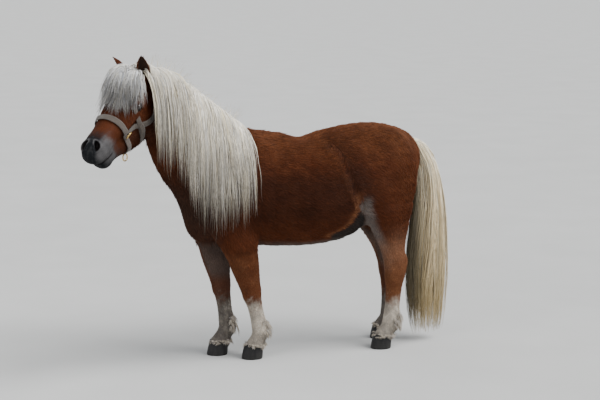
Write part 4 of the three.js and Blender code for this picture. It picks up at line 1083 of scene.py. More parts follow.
    def leg_lines(self, points: Array) -> tuple[Array, Array]:
        """The y of the nearest leg's middle line, and how far inward of that line each point lies."""
        best = np.full(len(points), 9.0)
        line, inward = np.zeros(len(points)), np.zeros(len(points))
        for leg in self.body.legs.values():
            at_x, at_y = leg.middle_line(points[:, 2])
            away = np.hypot(points[:, 0] - at_x, points[:, 1] - at_y)
            line = np.where(away < best, at_y, line)
            inward = np.where(away < best, (at_x - points[:, 0]) * leg.side, inward)
            best = np.minimum(best, away)
        return line, inward

    def rim_highlight_share(self, places: Array) -> Array:
        """How much each place of the head belongs to the painted highlight on the rear rim of a nostril."""
        share = np.zeros(len(places))
        for side in (-1, 1):
            _, ring, near = Nostril(side).plane(places)
            behind = ramp(382, 366, places[:, 0])
            share = np.maximum(share, np.exp(-(((ring - 1.22) / 0.16) ** 2)) * near * behind)
        return share

    def nostril_share(self, on_head: Array) -> Array:
        """How far each place of the head lies in a nostril."""
        total = np.zeros(len(on_head))
        for side in (-1, 1):
            total = np.maximum(total, Nostril(side).share(on_head))
        return total

    def eye_share(self, on_head: Array) -> Array:
        """How far each place of the head lies on the rim of an eye's opening."""
        total = np.zeros(len(on_head))
        for side in (-1, 1):
            into = EyeOpening(side, self.body).into(on_head)
            total = np.maximum(total, ramp(-4.5, -2.0, into))
        return total


def mixed(color: Array, other: Sequence[float], share: object) -> Array:
    """A colour moved toward another by a share for each row."""
    part = np.clip(np.asarray(share, dtype=float), 0.0, 1.0)
    if part.ndim:
        part = part[:, None]
    return color * (1 - part) + np.array(other) * part


# The head's small forms, in the head's own millimetres


@dataclass
class EyeOpening:
    """The almond between the lids of one eye, with its folds."""

    side: int
    body: Body
    half_length: float = 17.5
    upper: float = 10.0
    lower: float = 7.5
    lid: float = 2.6

    def __post_init__(self) -> None:
        """Works out the eye's own axes."""
        along, out, up = self.body.eye
        self.centre = np.array([along, self.side * out, up])
        self.look = unit(np.array([0.3, self.side * 1.0, 0.02]))
        rise = np.array([0.1, 0.0, 1.0])
        self.rise = unit(rise - self.look * (rise @ self.look))
        self.ahead = np.cross(self.rise, self.look) * -self.side

    def measure(self, places: Array) -> tuple[Array, Array, Array, Array]:
        """Distance from the eye's middle, and how far ahead, up and outward each place lies."""
        offset = places - self.centre
        reach = np.linalg.norm(offset, axis=1)
        way = offset / np.maximum(reach, 1e-6)[:, None]
        return reach, way @ self.ahead, way @ self.rise, way @ self.look

    def into(self, places: Array) -> Array:
        """How far inside the opening each place lies, in millimetres, below zero outside."""
        reach, ahead, rise, out = self.measure(places)
        size = np.maximum(reach, self.body.eye_radius + self.lid)
        u = ahead * size
        v = rise * size - 1.0 + 0.12 * u
        high = np.where(v > 0, self.upper, self.lower)
        room = high * np.clip(1 - (np.abs(u) / self.half_length) ** 2.3, -4.0, 1.0)
        result = room - np.abs(v)
        return np.where((out > 0.1) & (reach < 60), result, -60.0)

    def shape(self, places: Array) -> Array:
        """Places of the head with lids, folds and the opening worked in."""
        reach, _, rise, out = self.measure(places)
        into = self.into(places)
        near = into > -40
        size = self.body.eye_radius + self.lid
        over = np.maximum(4.0 - np.abs(reach - size), 0) / 4.0
        raised = np.maximum(reach, size) + over * over
        raised = np.where(out > 0, reach + (raised - reach) * ramp(0.0, 0.35, out), reach)
        for depth, away, wide in ((1.5, 5.2, 1.3), (0.9, 9.5, 1.6)):
            fold = np.exp(-(((into + away) / wide) ** 2)) * ramp(-0.4, 0.3, rise)
            raised -= depth * fold
        raised -= 0.9 * np.exp(-(((into + 5.0) / 1.5) ** 2)) * ramp(0.2, -0.4, rise)
        raised += 0.8 * np.exp(-(((into + 1.6) / 1.2) ** 2))
        cut = ramp(-0.7, 0.7, into)
        radius = raised * (1 - cut) + (self.body.eye_radius - 3.0) * cut
        moved = self.centre + (places - self.centre) * (radius / np.maximum(reach, 1e-6))[:, None]
        return np.where(near[:, None], moved, places)


@dataclass
class Nostril:
    """One nostril: a deep comma with a raised rim."""

    side: int
    centre: Triple = (375.0, 29.0, 24.0)
    long: float = 20.0
    wide: float = 12.0
    deep: float = 17.0

    def plane(self, places: Array) -> tuple[Array, Array, Array]:
        """How places lie to the nostril.

        Args:
            places: Places of the head, in millimetres.

        Returns:
            How far out of the nostril's plane each lies, its ring (0 in the middle, 1 on the rim), and
            whether it is near enough to belong to it.
        """
        mirror = np.array([1, self.side, 1])
        offset = places - np.array(self.centre) * mirror
        out = unit(np.array([0.70, 0.42, 0.58]) * mirror)
        long = np.array([-0.80, -0.30, 0.50]) * mirror
        long = unit(long - out * (long @ out))
        rise, across = offset @ long, offset @ np.cross(out, long) * self.side
        bent = across - 0.014 * rise * rise + 2.0
        ring = np.sqrt((rise / self.long) ** 2 + (bent / self.wide) ** 2)
        return offset @ out, ring, (np.abs(offset @ out) < 26).astype(float)

    def share(self, places: Array) -> Array:
        """How far inside the opening each place lies, from 0 to 1."""
        _, ring, near = self.plane(places)
        return ramp(1.04, 0.80, ring) * near

    def shape(self, places: Array) -> Array:
        """Places of the head with the nostril pressed in and its rim raised."""
        _, ring, near = self.plane(places)
        inward = -unit(np.array([0.55, self.side * 0.75, 0.38]))
        hole = ramp(1.02, 0.55, ring) * near
        rim = np.exp(-(((ring - 1.24) / 0.2) ** 2)) * near
        return places + inward * (self.deep * hole - 2.6 * rim)[:, None]


@dataclass
class Mouth:
    """The line between the lips, round the end of the muzzle."""

    along: float = 330.0
    up: float = -53.0
    reach: float = 1.85
    groove: float = 3.2

    def shape(self, places: Array) -> Array:
        """Places of the head with the mouth's groove and fuller lips."""
        offset = places - np.array([self.along, 0.0, self.up])
        angle = np.arctan2(offset[:, 1], offset[:, 0])
        level = np.hypot(offset[:, 0], offset[:, 1])
        line = 5 * np.abs(np.sin(angle)) ** 3 * level / 60
        away = offset[:, 2] - line
        share = ramp(self.reach, self.reach - 0.25, np.abs(angle)) * (offset[:, 0] > -25)
        share = share * (level < 70)
        press = -self.groove * np.exp(-((away / 2.0) ** 2))
        full = 1.5 * np.exp(-(((away - 7.5) / 4.5) ** 2)) + 1.3 * np.exp(-(((away + 7.0) / 4.5) ** 2))
        flat = unit(offset * np.array([1.0, 1.0, 0.0]))
        return places + flat * ((press + full) * share)[:, None]


# The skin


@dataclass
class Skin:
    """One smooth skin over the whole animal, a coat's depth inside the solids."""

    body: Body
    markings: Markings
    cell: float = 0.0055
    inset: float = 0.0048
    fine_inset: float = 0.0012
    hem: float = 0.032
    low: Triple = (-0.245, -0.85, 0.02)
    high: Triple = (0.375, 0.75, 1.25)

    def depth(self, points: Array) -> Array:
        """How far the skin lies inside the solids at each point."""
        along = self.body.head.local(points)[:, 0]
        is_head = ramp(20, 120, along) * (points[:, 1] < -0.4)
        low = ramp(0.42, 0.26, points[:, 2])
        return self.inset + (self.fine_inset - self.inset) * np.maximum(is_head, low)

    def level(self, points: Array) -> Array:
        """The field whose zero is the skin. It ends on a flat hem inside the hooves."""
        inside = self.body.flesh.distance(points) + self.depth(points)
        return np.maximum(inside, self.hem - points[:, 2])

    def project(self, points: Array, rounds: int = 2) -> Array:
        """Moves points onto the skin."""
        moved = points.copy()
        for _ in range(rounds):
            value = in_chunks(self.level, moved)
            slope = gradient(lambda spots: in_chunks(self.level, spots), moved)
            size = np.maximum((slope * slope).sum(axis=1), 0.15)
            move = np.clip(value / size, -self.cell, self.cell)
            moved -= slope * move[:, None]
        return moved

    def build(self) -> Piece:
        """Builds the skin with its ears and face.

        Returns:
            The object. Its points, faces and normals are kept for the coat.
        """
        net = Net(self.cell, np.array(self.low), np.array(self.high))
        points, faces = net.build(self.level)
        points = self.project(smooth_points(points, faces, 3), 1)
        head = self.body.head
        points, faces = refine(points, faces, self.by_face)
        points, faces = refine(points, faces, self.by_features)
        points, faces = refine(points, faces, self.by_edges)
        face = self.by_face(points)
        points[face] = self.project(points[face], 2)
        places = head.local(points[face])
        for side in (-1, 1):
            places = EyeOpening(side, self.body).shape(places)
            places = Nostril(side).shape(places)
        places = Mouth().shape(places)
        points[face] = head.origin + places * MM @ head.axes
        ears = [Ear(side, self.body).build() for side in (-1, 1)]
        self.ear_start = len(points)
        for ear_points, ear_faces in ears:
            faces = np.concatenate([faces, ear_faces + len(points)])
            points = np.concatenate([points, ear_points])
        self.points, self.faces = points, faces
        self.normals = mesh_normals(points, faces)
        made = make_object("skin", points, faces, self.body)
        colors = self.markings.coat(points) * 0.8
        inside = np.zeros(len(points), bool)
        inside[self.ear_start :] = Ear.is_inside(len(points) - self.ear_start)
        set_colors(made, mixed(colors, self.markings.ear_cup, inside * 0.8))
        uv = Unwrap(self.body).place(points, self.regions(points, self.ear_start))
        set_corner_uv(made, uv, "OFBake")
        return made

    def by_face(self, points: Array) -> Array:
        """Which points belong to the face and jaws."""
        return (self.body.head.local(points)[:, 0] > 20) & (points[:, 1] < -0.5)

    def by_features(self, points: Array) -> Array:
        """Which points lie near an eye, a nostril or the mouth."""
        return self.feature_distance(points) < 14

    def by_edges(self, points: Array) -> Array:
        """Which points lie close to an eye's rim, a nostril's rim or the line of the mouth."""
        return self.feature_distance(points) < 4

    def feature_distance(self, points: Array) -> Array:
        """Rough distance to the nearest small form of the face, in millimetres."""
        places = self.body.head.local(points)
        best = np.full(len(points), 99.0)
        for side in (-1, 1):
            into = EyeOpening(side, self.body).into(places)
            best = np.minimum(best, np.abs(into + 3) - 5)
            _, ring, near = Nostril(side).plane(places)
            best = np.minimum(best, np.where(near > 0, (ring - 1.3) * 14, 99.0))
        mouth = Mouth()
        level = np.hypot(places[:, 0] - mouth.along, places[:, 1])
        by_mouth = (level < 70) & (places[:, 0] > mouth.along - 24)
        best = np.minimum(best, np.where(by_mouth, np.abs(places[:, 2] - mouth.up - 2) - 3, 99.0))
        return best

    def regions(self, points: Array, ear_start: int) -> Array:
        """The region of each point, by its place.

        Args:
            points: Points in the body's frame.
            ear_start: The number of the first point that belongs to an ear.

        Returns:
            The value of a Region for each point.
        """
        _, y, z = points.T
        result = np.full(len(points), Region.TORSO)
        ahead = (points - np.array([0, -0.176, 0.748])) @ np.array([0, -0.83, 0.56]) > 0
        result[ahead] = Region.NECK
        along, _, up = self.body.head.local(points).T
        on_head = (along + 14) * 0.97 + (up + 30) * 0.24 > 0
        on_head &= (along - 40) * 0.36 + (up + 152) * 0.93 > 0
        result[on_head & (y < -0.4)] = Region.HEAD
        result[(z < 0.47) & (y < 0.0)] = Region.FORE
        result[(z < 0.56) & (y > 0.41)] = Region.HIND
        result[ear_start:] = Region.EAR
        return result


@dataclass
class Ear:
    """One ear: a leaf rolled into a cup, open outward and forward, with a thin wall."""

    side: int
    body: Body
    along: float = 6.0
    up: float = 34.0
    out: float = 44.0
    length: float = 98.0
    width: float = 27.0
    wall: float = 3.0
    foot: float = -20.0
    leaf: Rows = (
        (0, 0.66), (0.16, 0.86), (0.36, 1.0), (0.58, 0.93), (0.78, 0.68), (0.92, 0.38), (1.0, 0.06),
    )
    rows: int = 26
    around: int = 22

    @classmethod
    def is_inside(cls, count: int) -> Array:
        """Which of the ears' vertices lie inside the cup."""
        return np.arange(count) % (cls.around * 2) >= cls.around

    def frame(self) -> tuple[Array, Array, Array, Array]:
        """The ear's base, and its ways up, forward and across."""
        head = self.body.head
        base = head.place(self.along, self.side * self.out, self.up)
        lean = 0.2 if self.side > 0 else 0.4
        ahead = np.array([-0.317, -0.948, 0.0])
        up = unit(head.left * self.side * 0.16 + head.face * 0.35 + np.array([0, 0, 1.0]) + ahead * lean)
        level = unit(head.along * np.array([1, 1, 0]))
        front = head.left * self.side * 0.8 + level * 0.6
        front = unit(front - up * (front @ up))
        return base, up, front, np.cross(up, front)

    def build(self) -> tuple[Array, Array]:
        """The ear's vertices, and rows of three vertex numbers."""
        base, up, front, across = self.frame()
        shares = np.linspace(0.0, 1.0, self.rows) ** 0.9
        leaf = np.array(self.leaf)
        rings = []
        for t in shares:
            radius = max(np.interp(t, leaf[:, 0], leaf[:, 1]) * self.width, 1.2)
            opening = math.radians(np.interp(t, [0, 0.2, 0.6, 1], [14, 42, 66, 80]))
            angles = np.linspace(math.pi / 2 + opening, math.pi * 2.5 - opening, self.around)
            rise = self.foot + (self.length - self.foot) * t
            curl = 4 * t - 6 * math.sin(t * math.pi)
            wall = min(self.wall, radius * 0.5)
            for size, row in ((radius, angles), (radius - wall, angles[::-1])):
                flat = np.outer(np.cos(row) * size, across)
                flat += np.outer(np.sin(row) * size * 0.72 + curl, front)
                rings.append(flat + up * rise)
        points = np.array(rings).reshape(-1, 3) * MM + base
        count = self.around * 2
        quads = tube_faces(self.rows, count)
        triangles = in_triangles(quads)
        half = self.around
        caps = []
        for start in (0, (self.rows - 1) * count):
            for k in range(half - 1):
                a, b = start + k, start + k + 1
                c, d = start + count - 1 - k, start + count - 2 - k
                flip = start == 0
                caps += [[a, d, b], [a, c, d]] if not flip else [[a, b, d], [a, d, c]]
        triangles = np.concatenate([triangles, np.array(caps)])
        normals = mesh_normals(points, triangles)
        outward = (normals.reshape(self.rows, count, 3)[:, half // 2] @ front).mean()
        if outward > 0:
            triangles = triangles[:, ::-1]
        return points, triangles


@dataclass
class Unwrap:
    """An unwrap of the skin's own shape: each region laid out flat in a rectangle of its own."""

    body: Body

    def place(self, points: Array, regions: Array) -> Array:
        """The unwrap's place of each point.

        Args:
            points: Points in the body's frame.
            regions: The value of a Region for each point.

        Returns:
            Pairs of numbers between 0 and 1.
        """
        x, y, z = points.T
        result = np.zeros((len(points), 2))
        turn = np.arctan2(z - 0.68, x) / TURN + 0.5
        self.fill(result, regions == Region.TORSO, (0.01, 0.53, 0.60, 0.99), (y + 0.30) / 1.0, turn)
        rows = np.array(self.body.neck_rows) * MM
        middle_x = np.interp(z, rows[:, 2], rows[:, 0])
        middle_y = np.interp(z, rows[:, 2], rows[:, 1])
        turn = np.arctan2(y - middle_y, x - middle_x) / TURN + 0.5
        self.fill(result, regions == Region.NECK, (0.63, 0.53, 0.99, 0.99), (z - 0.42) / 0.8, turn)
        along, left, up = self.body.head.local(points).T
        turn = np.arctan2(left, -(up + 30)) / TURN + 0.5
        self.fill(result, regions == Region.HEAD, (0.01, 0.27, 0.30, 0.50), (along + 80) / 490, turn)
        for i, leg in enumerate(self.body.legs.values()):
            at_x, at_y = leg.middle_line(z)
            turn = np.arctan2(y - at_y, x - at_x) / TURN + 0.5
            mine = regions == (Region.FORE if leg.fore else Region.HIND)
            mine &= np.sign(x) == leg.side
            low = 0.33 + 0.165 * i
            self.fill(result, mine, (low, 0.27, low + 0.15, 0.50), (z - 0.02) / 0.56, turn)
        for i, side in enumerate((-1, 1)):
            base, rise, front, across = Ear(side, self.body).frame()
            offset = points - base
            turn = np.arctan2(offset @ front, offset @ across) / TURN + 0.5
            mine = (regions == Region.EAR) & (np.sign(left) == side)
            low = 0.01 + 0.16 * i
            self.fill(result, mine, (low, 0.02, low + 0.14, 0.24), (offset @ rise + 0.02) / 0.125, turn)
        return result

    @staticmethod
    def fill(result: Array, mine: Array, room: tuple[float, ...], u: Array, v: Array) -> None:
        """Writes the places of one region into its rectangle."""
        left, low, right, high = room
        result[mine, 0] = left + (right - left) * np.clip(u, 0, 1)[mine]
        result[mine, 1] = low + (high - low) * np.clip(v, 0, 1)[mine]


# The coat


@dataclass
class Coat:
    """Short fur: small closed tufts that follow the lie of the hair, one piece for each part."""

    skin: Skin
    body: Body
    markings: Markings
    seed: int = 7
    patch: float = 0.0015
    density: float = 51000.0
    denser: Sequence[float] = (1.0, 1.0, 2.6, 1.5, 1.5, 2.2)
    most: int = 49500
    reaches: Sequence[float] = (-0.024, -0.016, -0.008, 0.0, 0.008, 0.016, 0.024)
    swirl: float = 0.26
    lift: float = 0.20
    vary: float = 0.13
    streaky: float = 0.34
    tones: Sequence[float] = (0.72, 0.72, 0.92, 1.28)

    def lie(self, points: Array, regions: Array) -> Array:
        """The way the hair lies at each point, before it is laid flat on the skin."""
        x, y, z = points.T
        side = np.sign(x)
        count = len(points)
        way = np.stack([np.zeros(count), np.ones(count), np.full(count, -0.45)], 1)
        rump = ramp(0.42, 0.62, y)[:, None]
        way = way * (1 - rump) + np.array([0.0, 0.35, -1.0]) * rump
        shoulder = (ramp(0.05, -0.15, y) * ramp(0.85, 0.7, z))[:, None]
        way = way * (1 - shoulder) + np.array([0.0, 0.45, -1.0]) * shoulder
        chest = ramp(-0.2, -0.28, y)[:, None]
        way = way * (1 - chest) + np.stack([side * 0.5, np.zeros(count), np.full(count, -0.8)], 1) * chest
        belly = (ramp(0.52, 0.46, z) * ramp(-0.05, 0.02, y) * ramp(0.45, 0.4, y))[:, None]
        way = way * (1 - belly) + np.array([0.0, 1.0, -0.1]) * belly
        tall = ramp(0.56, 0.64, z) * ramp(0.92, 0.84, z) * (y > 0)
        parting = self.markings.from_whorl(points)
        ahead = (ramp(-0.004, 0.006, parting) * ramp(0.055, 0.02, parting) * tall)[:, None]
        way = way * (1 - ahead) + np.array([0.0, -0.9, -0.55]) * ahead
        neck = (regions == Region.NECK)[:, None]
        way = np.where(neck, np.array([0.0, 0.62, -0.75]), way)
        legs = ((regions == Region.FORE) | (regions == Region.HIND))[:, None]
        way = np.where(legs, np.array([0.0, 0.18, -1.0]), way)
        head = self.body.head
        places = head.local(points)
        spread = np.clip(places[:, 1] / 80, -1, 1)[:, None] * 0.35
        face = head.along - head.face * 0.15 + head.left * spread
        cheek = ramp(-30, -110, places[:, 2])[:, None] * ramp(180, 90, places[:, 0])[:, None]
        face = face * (1 - cheek) + (head.along * 0.3 - head.face + np.array([0, 0.3, 0])) * cheek
        way = np.where((regions == Region.HEAD)[:, None], face, way)
        for ear_side in (-1, 1):
            _, rise, _, _ = Ear(ear_side, self.body).frame()
            mine = (regions == Region.EAR) & (np.sign(places[:, 1]) == ear_side)
            way = np.where(mine[:, None], rise, way)
        return way

    def lengths(self, points: Array, regions: Array) -> Array:
        """How long the hair is at each point, in metres."""
        _, y, z = points.T
        along, _, up = self.body.head.local(points).T
        result = np.full(len(points), 0.0175)
        parting = self.markings.from_whorl(points)
        result += 0.006 * np.exp(-(((parting - 0.015) / 0.03) ** 2)) * ramp(0.56, 0.64, z) * (y > 0)
        result += 0.006 * ramp(0.52, 0.46, z) * (regions == Region.TORSO)
        result += 0.012 * ramp(0.86, 0.90, z) * ramp(-0.14, -0.06, y) * ramp(0.14, 0.06, y)
        fore = regions == Region.FORE
        hind = regions == Region.HIND
        result = np.where(fore | hind, 0.007 + 0.005 * ramp(0.3, 0.5, z), result)
        heel = ramp(0.0, 0.03, y - self.markings.leg_lines(points)[0]) * ramp(0.34, 0.12, z)
        result = np.where(fore | hind, result + 0.008 * heel, result)
        head = 0.0095 - 0.0065 * ramp(120, 330, along)
        beard = ramp(20, 60, along) * ramp(300, 230, along)
        head = head + 0.019 * ramp(-105, -150, up) * beard
        result = np.where(regions == Region.HEAD, head, result)
        return np.where(regions == Region.EAR, 0.007, result)

    def roots(self, draw: Random) -> tuple[Array, Array, Array]:
        """Places spread over the skin.

        Args:
            draw: The seeded source of random numbers.

        Returns:
            Points, normals, and the Region value of each.
        """
        points, faces = self.skin.points, self.skin.faces
        corners = points[faces]
        across = np.cross(corners[:, 1] - corners[:, 0], corners[:, 2] - corners[:, 0])
        area = np.linalg.norm(across, axis=1) / 2
        vertex_regions = self.skin.regions(points, self.skin.ear_start)
        face_regions = vertex_regions[faces[:, 0]]
        dense = np.array(self.denser)[face_regions]
        middle = corners.mean(axis=1)
        dense *= middle[:, 2] > self.skin.hem + 0.012
        places = self.body.head.local(middle)
        hidden = self.markings.nostril_share(places) > 0.1
        for side in (-1, 1):
            hidden |= EyeOpening(side, self.body).into(places) > -1.5
        dense *= ~hidden
        weight = area * dense
        count = int(weight.sum() * self.density)
        edges = np.cumsum(weight)
        chosen = np.searchsorted(edges, (np.arange(count) + draw.uniform(0, 1, count)) / count * edges[-1])
        chosen = np.minimum(chosen, len(faces) - 1)
        a, b = draw.uniform(0, 1, count), draw.uniform(0, 1, count)
        flip = a + b > 1
        a, b = np.where(flip, 1 - a, a), np.where(flip, 1 - b, b)
        shares = np.stack([1 - a - b, a, b], 1)[:, :, None]
        where = (corners[chosen] * shares).sum(axis=1)
        normals = unit((self.skin.normals[faces[chosen]] * shares).sum(axis=1))
        return where, normals, face_regions[chosen]

    def build(self) -> list[tuple[Piece, tuple[str, ...]]]:
        """Builds every piece of the coat.

        Returns:
            Each piece with the nodes that it stands for.
        """
        draw = np.random.default_rng(self.seed)
        roots, normals, regions = self.roots(draw)
        count = len(roots)
        way = self.lie(roots, regions)
        way = unit(way - normals * (way * normals).sum(axis=1, keepdims=True))
        side = np.cross(normals, way)
        swirl = self.swirl * wander(roots, 0.05, 21) + 0.12 * draw.normal(size=count)
        way = way * np.cos(swirl)[:, None] + side * np.sin(swirl)[:, None]
        side = np.cross(normals, way)
        length = self.lengths(roots, regions) * draw.uniform(0.75, 1.2, count)
        streaks = sum(wander(roots + way * reach, 0.011, 29) for reach in self.reaches) / len(self.reaches)
        streaks = np.clip(streaks * 2.4, -1, 1)
        lift = self.lift + 0.07 * streaks + 0.05 * wander(roots, 0.03, 27) + 0.04 * draw.normal(size=count)
        lift = np.clip(lift, 0.06, 0.5)
        half = (length * 0.095 + 0.0005)[:, None]
        tips = roots + (way * np.cos(lift)[:, None] + normals * np.sin(lift)[:, None]) * length[:, None]
        tips += side * (length * 0.15 * draw.normal(size=count))[:, None]
        base = roots - normals * 0.0008
        left = base + side * half
        right = base - side * half
        top = base + normals * half * 0.9 + way * half * 1.2
        points = np.stack([left, right, top, tips], 1)
        color = self.markings.coat(roots)
        value = np.exp(self.vary * draw.normal(size=count) + self.streaky * streaks)[:, None]
        warm = 1 + 0.05 * draw.normal(size=(count, 1)) * np.array([[1.0, 0.2, -0.6]])
        color = color * value * warm
        color = mixed(color, self.markings.ear_cup, self.in_ear(roots, normals, regions) * 0.75)
        colors = np.stack([color * tone for tone in self.tones], 1)
        uv = Unwrap(self.body).place(roots, regions)
        corners = np.array([[-1, -1], [1, -1], [0, 0], [0, 1]]) * self.patch
        uvs = uv[:, None, :] + corners
        return [
            (self.piece(name, mine, points, colors, uvs), nodes)
            for name, mine, nodes in self.parts(roots, regions)
        ]

    def in_ear(self, roots: Array, normals: Array, regions: Array) -> Array:
        """Which roots lie inside the cup of an ear."""
        inside = np.zeros(len(roots), bool)
        left = self.body.head.local(roots)[:, 1]
        for side in (-1, 1):
            base, rise, _, _ = Ear(side, self.body).frame()
            offset = roots - base
            offset = offset - np.outer(offset @ rise, rise)
            facing = (offset * normals).sum(axis=1) < 0
            inside |= facing & (regions == Region.EAR) & (np.sign(left) == side)
        return inside.astype(float)

    def parts(self, roots: Array, regions: Array) -> list[tuple[str, Array, tuple[str, ...]]]:
        """The pieces' names, which roots they hold, and the nodes that they stand for."""
        x, y, _ = roots.T
        torso = regions == Region.TORSO
        neck = regions == Region.NECK
        left = x > 0
        half = torso & (y < 0.22)
        rear = torso & (y >= 0.22)
        fore = regions == Region.FORE
        hind = regions == Region.HIND
        return [
            ("coat_barrel_left", half & left, ("torso",)),
            ("coat_barrel_right", half & ~left, ("torso",)),
            ("coat_rump_left", rear & left, ("torso",)),
            ("coat_rump_right", rear & ~left, ("torso",)),
            ("coat_neck", neck, ("neck",)),
            ("coat_head", regions == Region.HEAD, ("head",)),
            ("coat_ears", regions == Region.EAR, ("ear_left", "ear_right")),
            ("coat_forelegs", fore, ("foreleg_left", "foreleg_right")),
            ("coat_hindlegs", hind, ("hindleg_left", "hindleg_right")),
        ]

    def piece(self, name: str, mine: Array, points: Array, colors: Array, uvs: Array) -> Piece:
        """One mesh of closed tufts with four faces each."""
        found = np.flatnonzero(mine)
        count = min(len(found), self.most)
        chosen = found[np.linspace(0, len(found) - 1, count).round().astype(int)]
        start = np.arange(count)[:, None, None] * 4
        faces = start + np.array([[0, 1, 2], [0, 2, 3], [2, 1, 3], [1, 0, 3]])
        tufts = points[chosen].reshape(-1, 3)
        made = make_object(name, tufts, faces.reshape(-1, 3), self.body, smooth=False)
        set_colors(made, colors[chosen].reshape(-1, 3))
        set_corner_uv(made, uvs[chosen].reshape(-1, 2), "OFBake")
        log.info("%s has %d tufts of %d", name, count, int(mine.sum()))
        return made


# Long hair


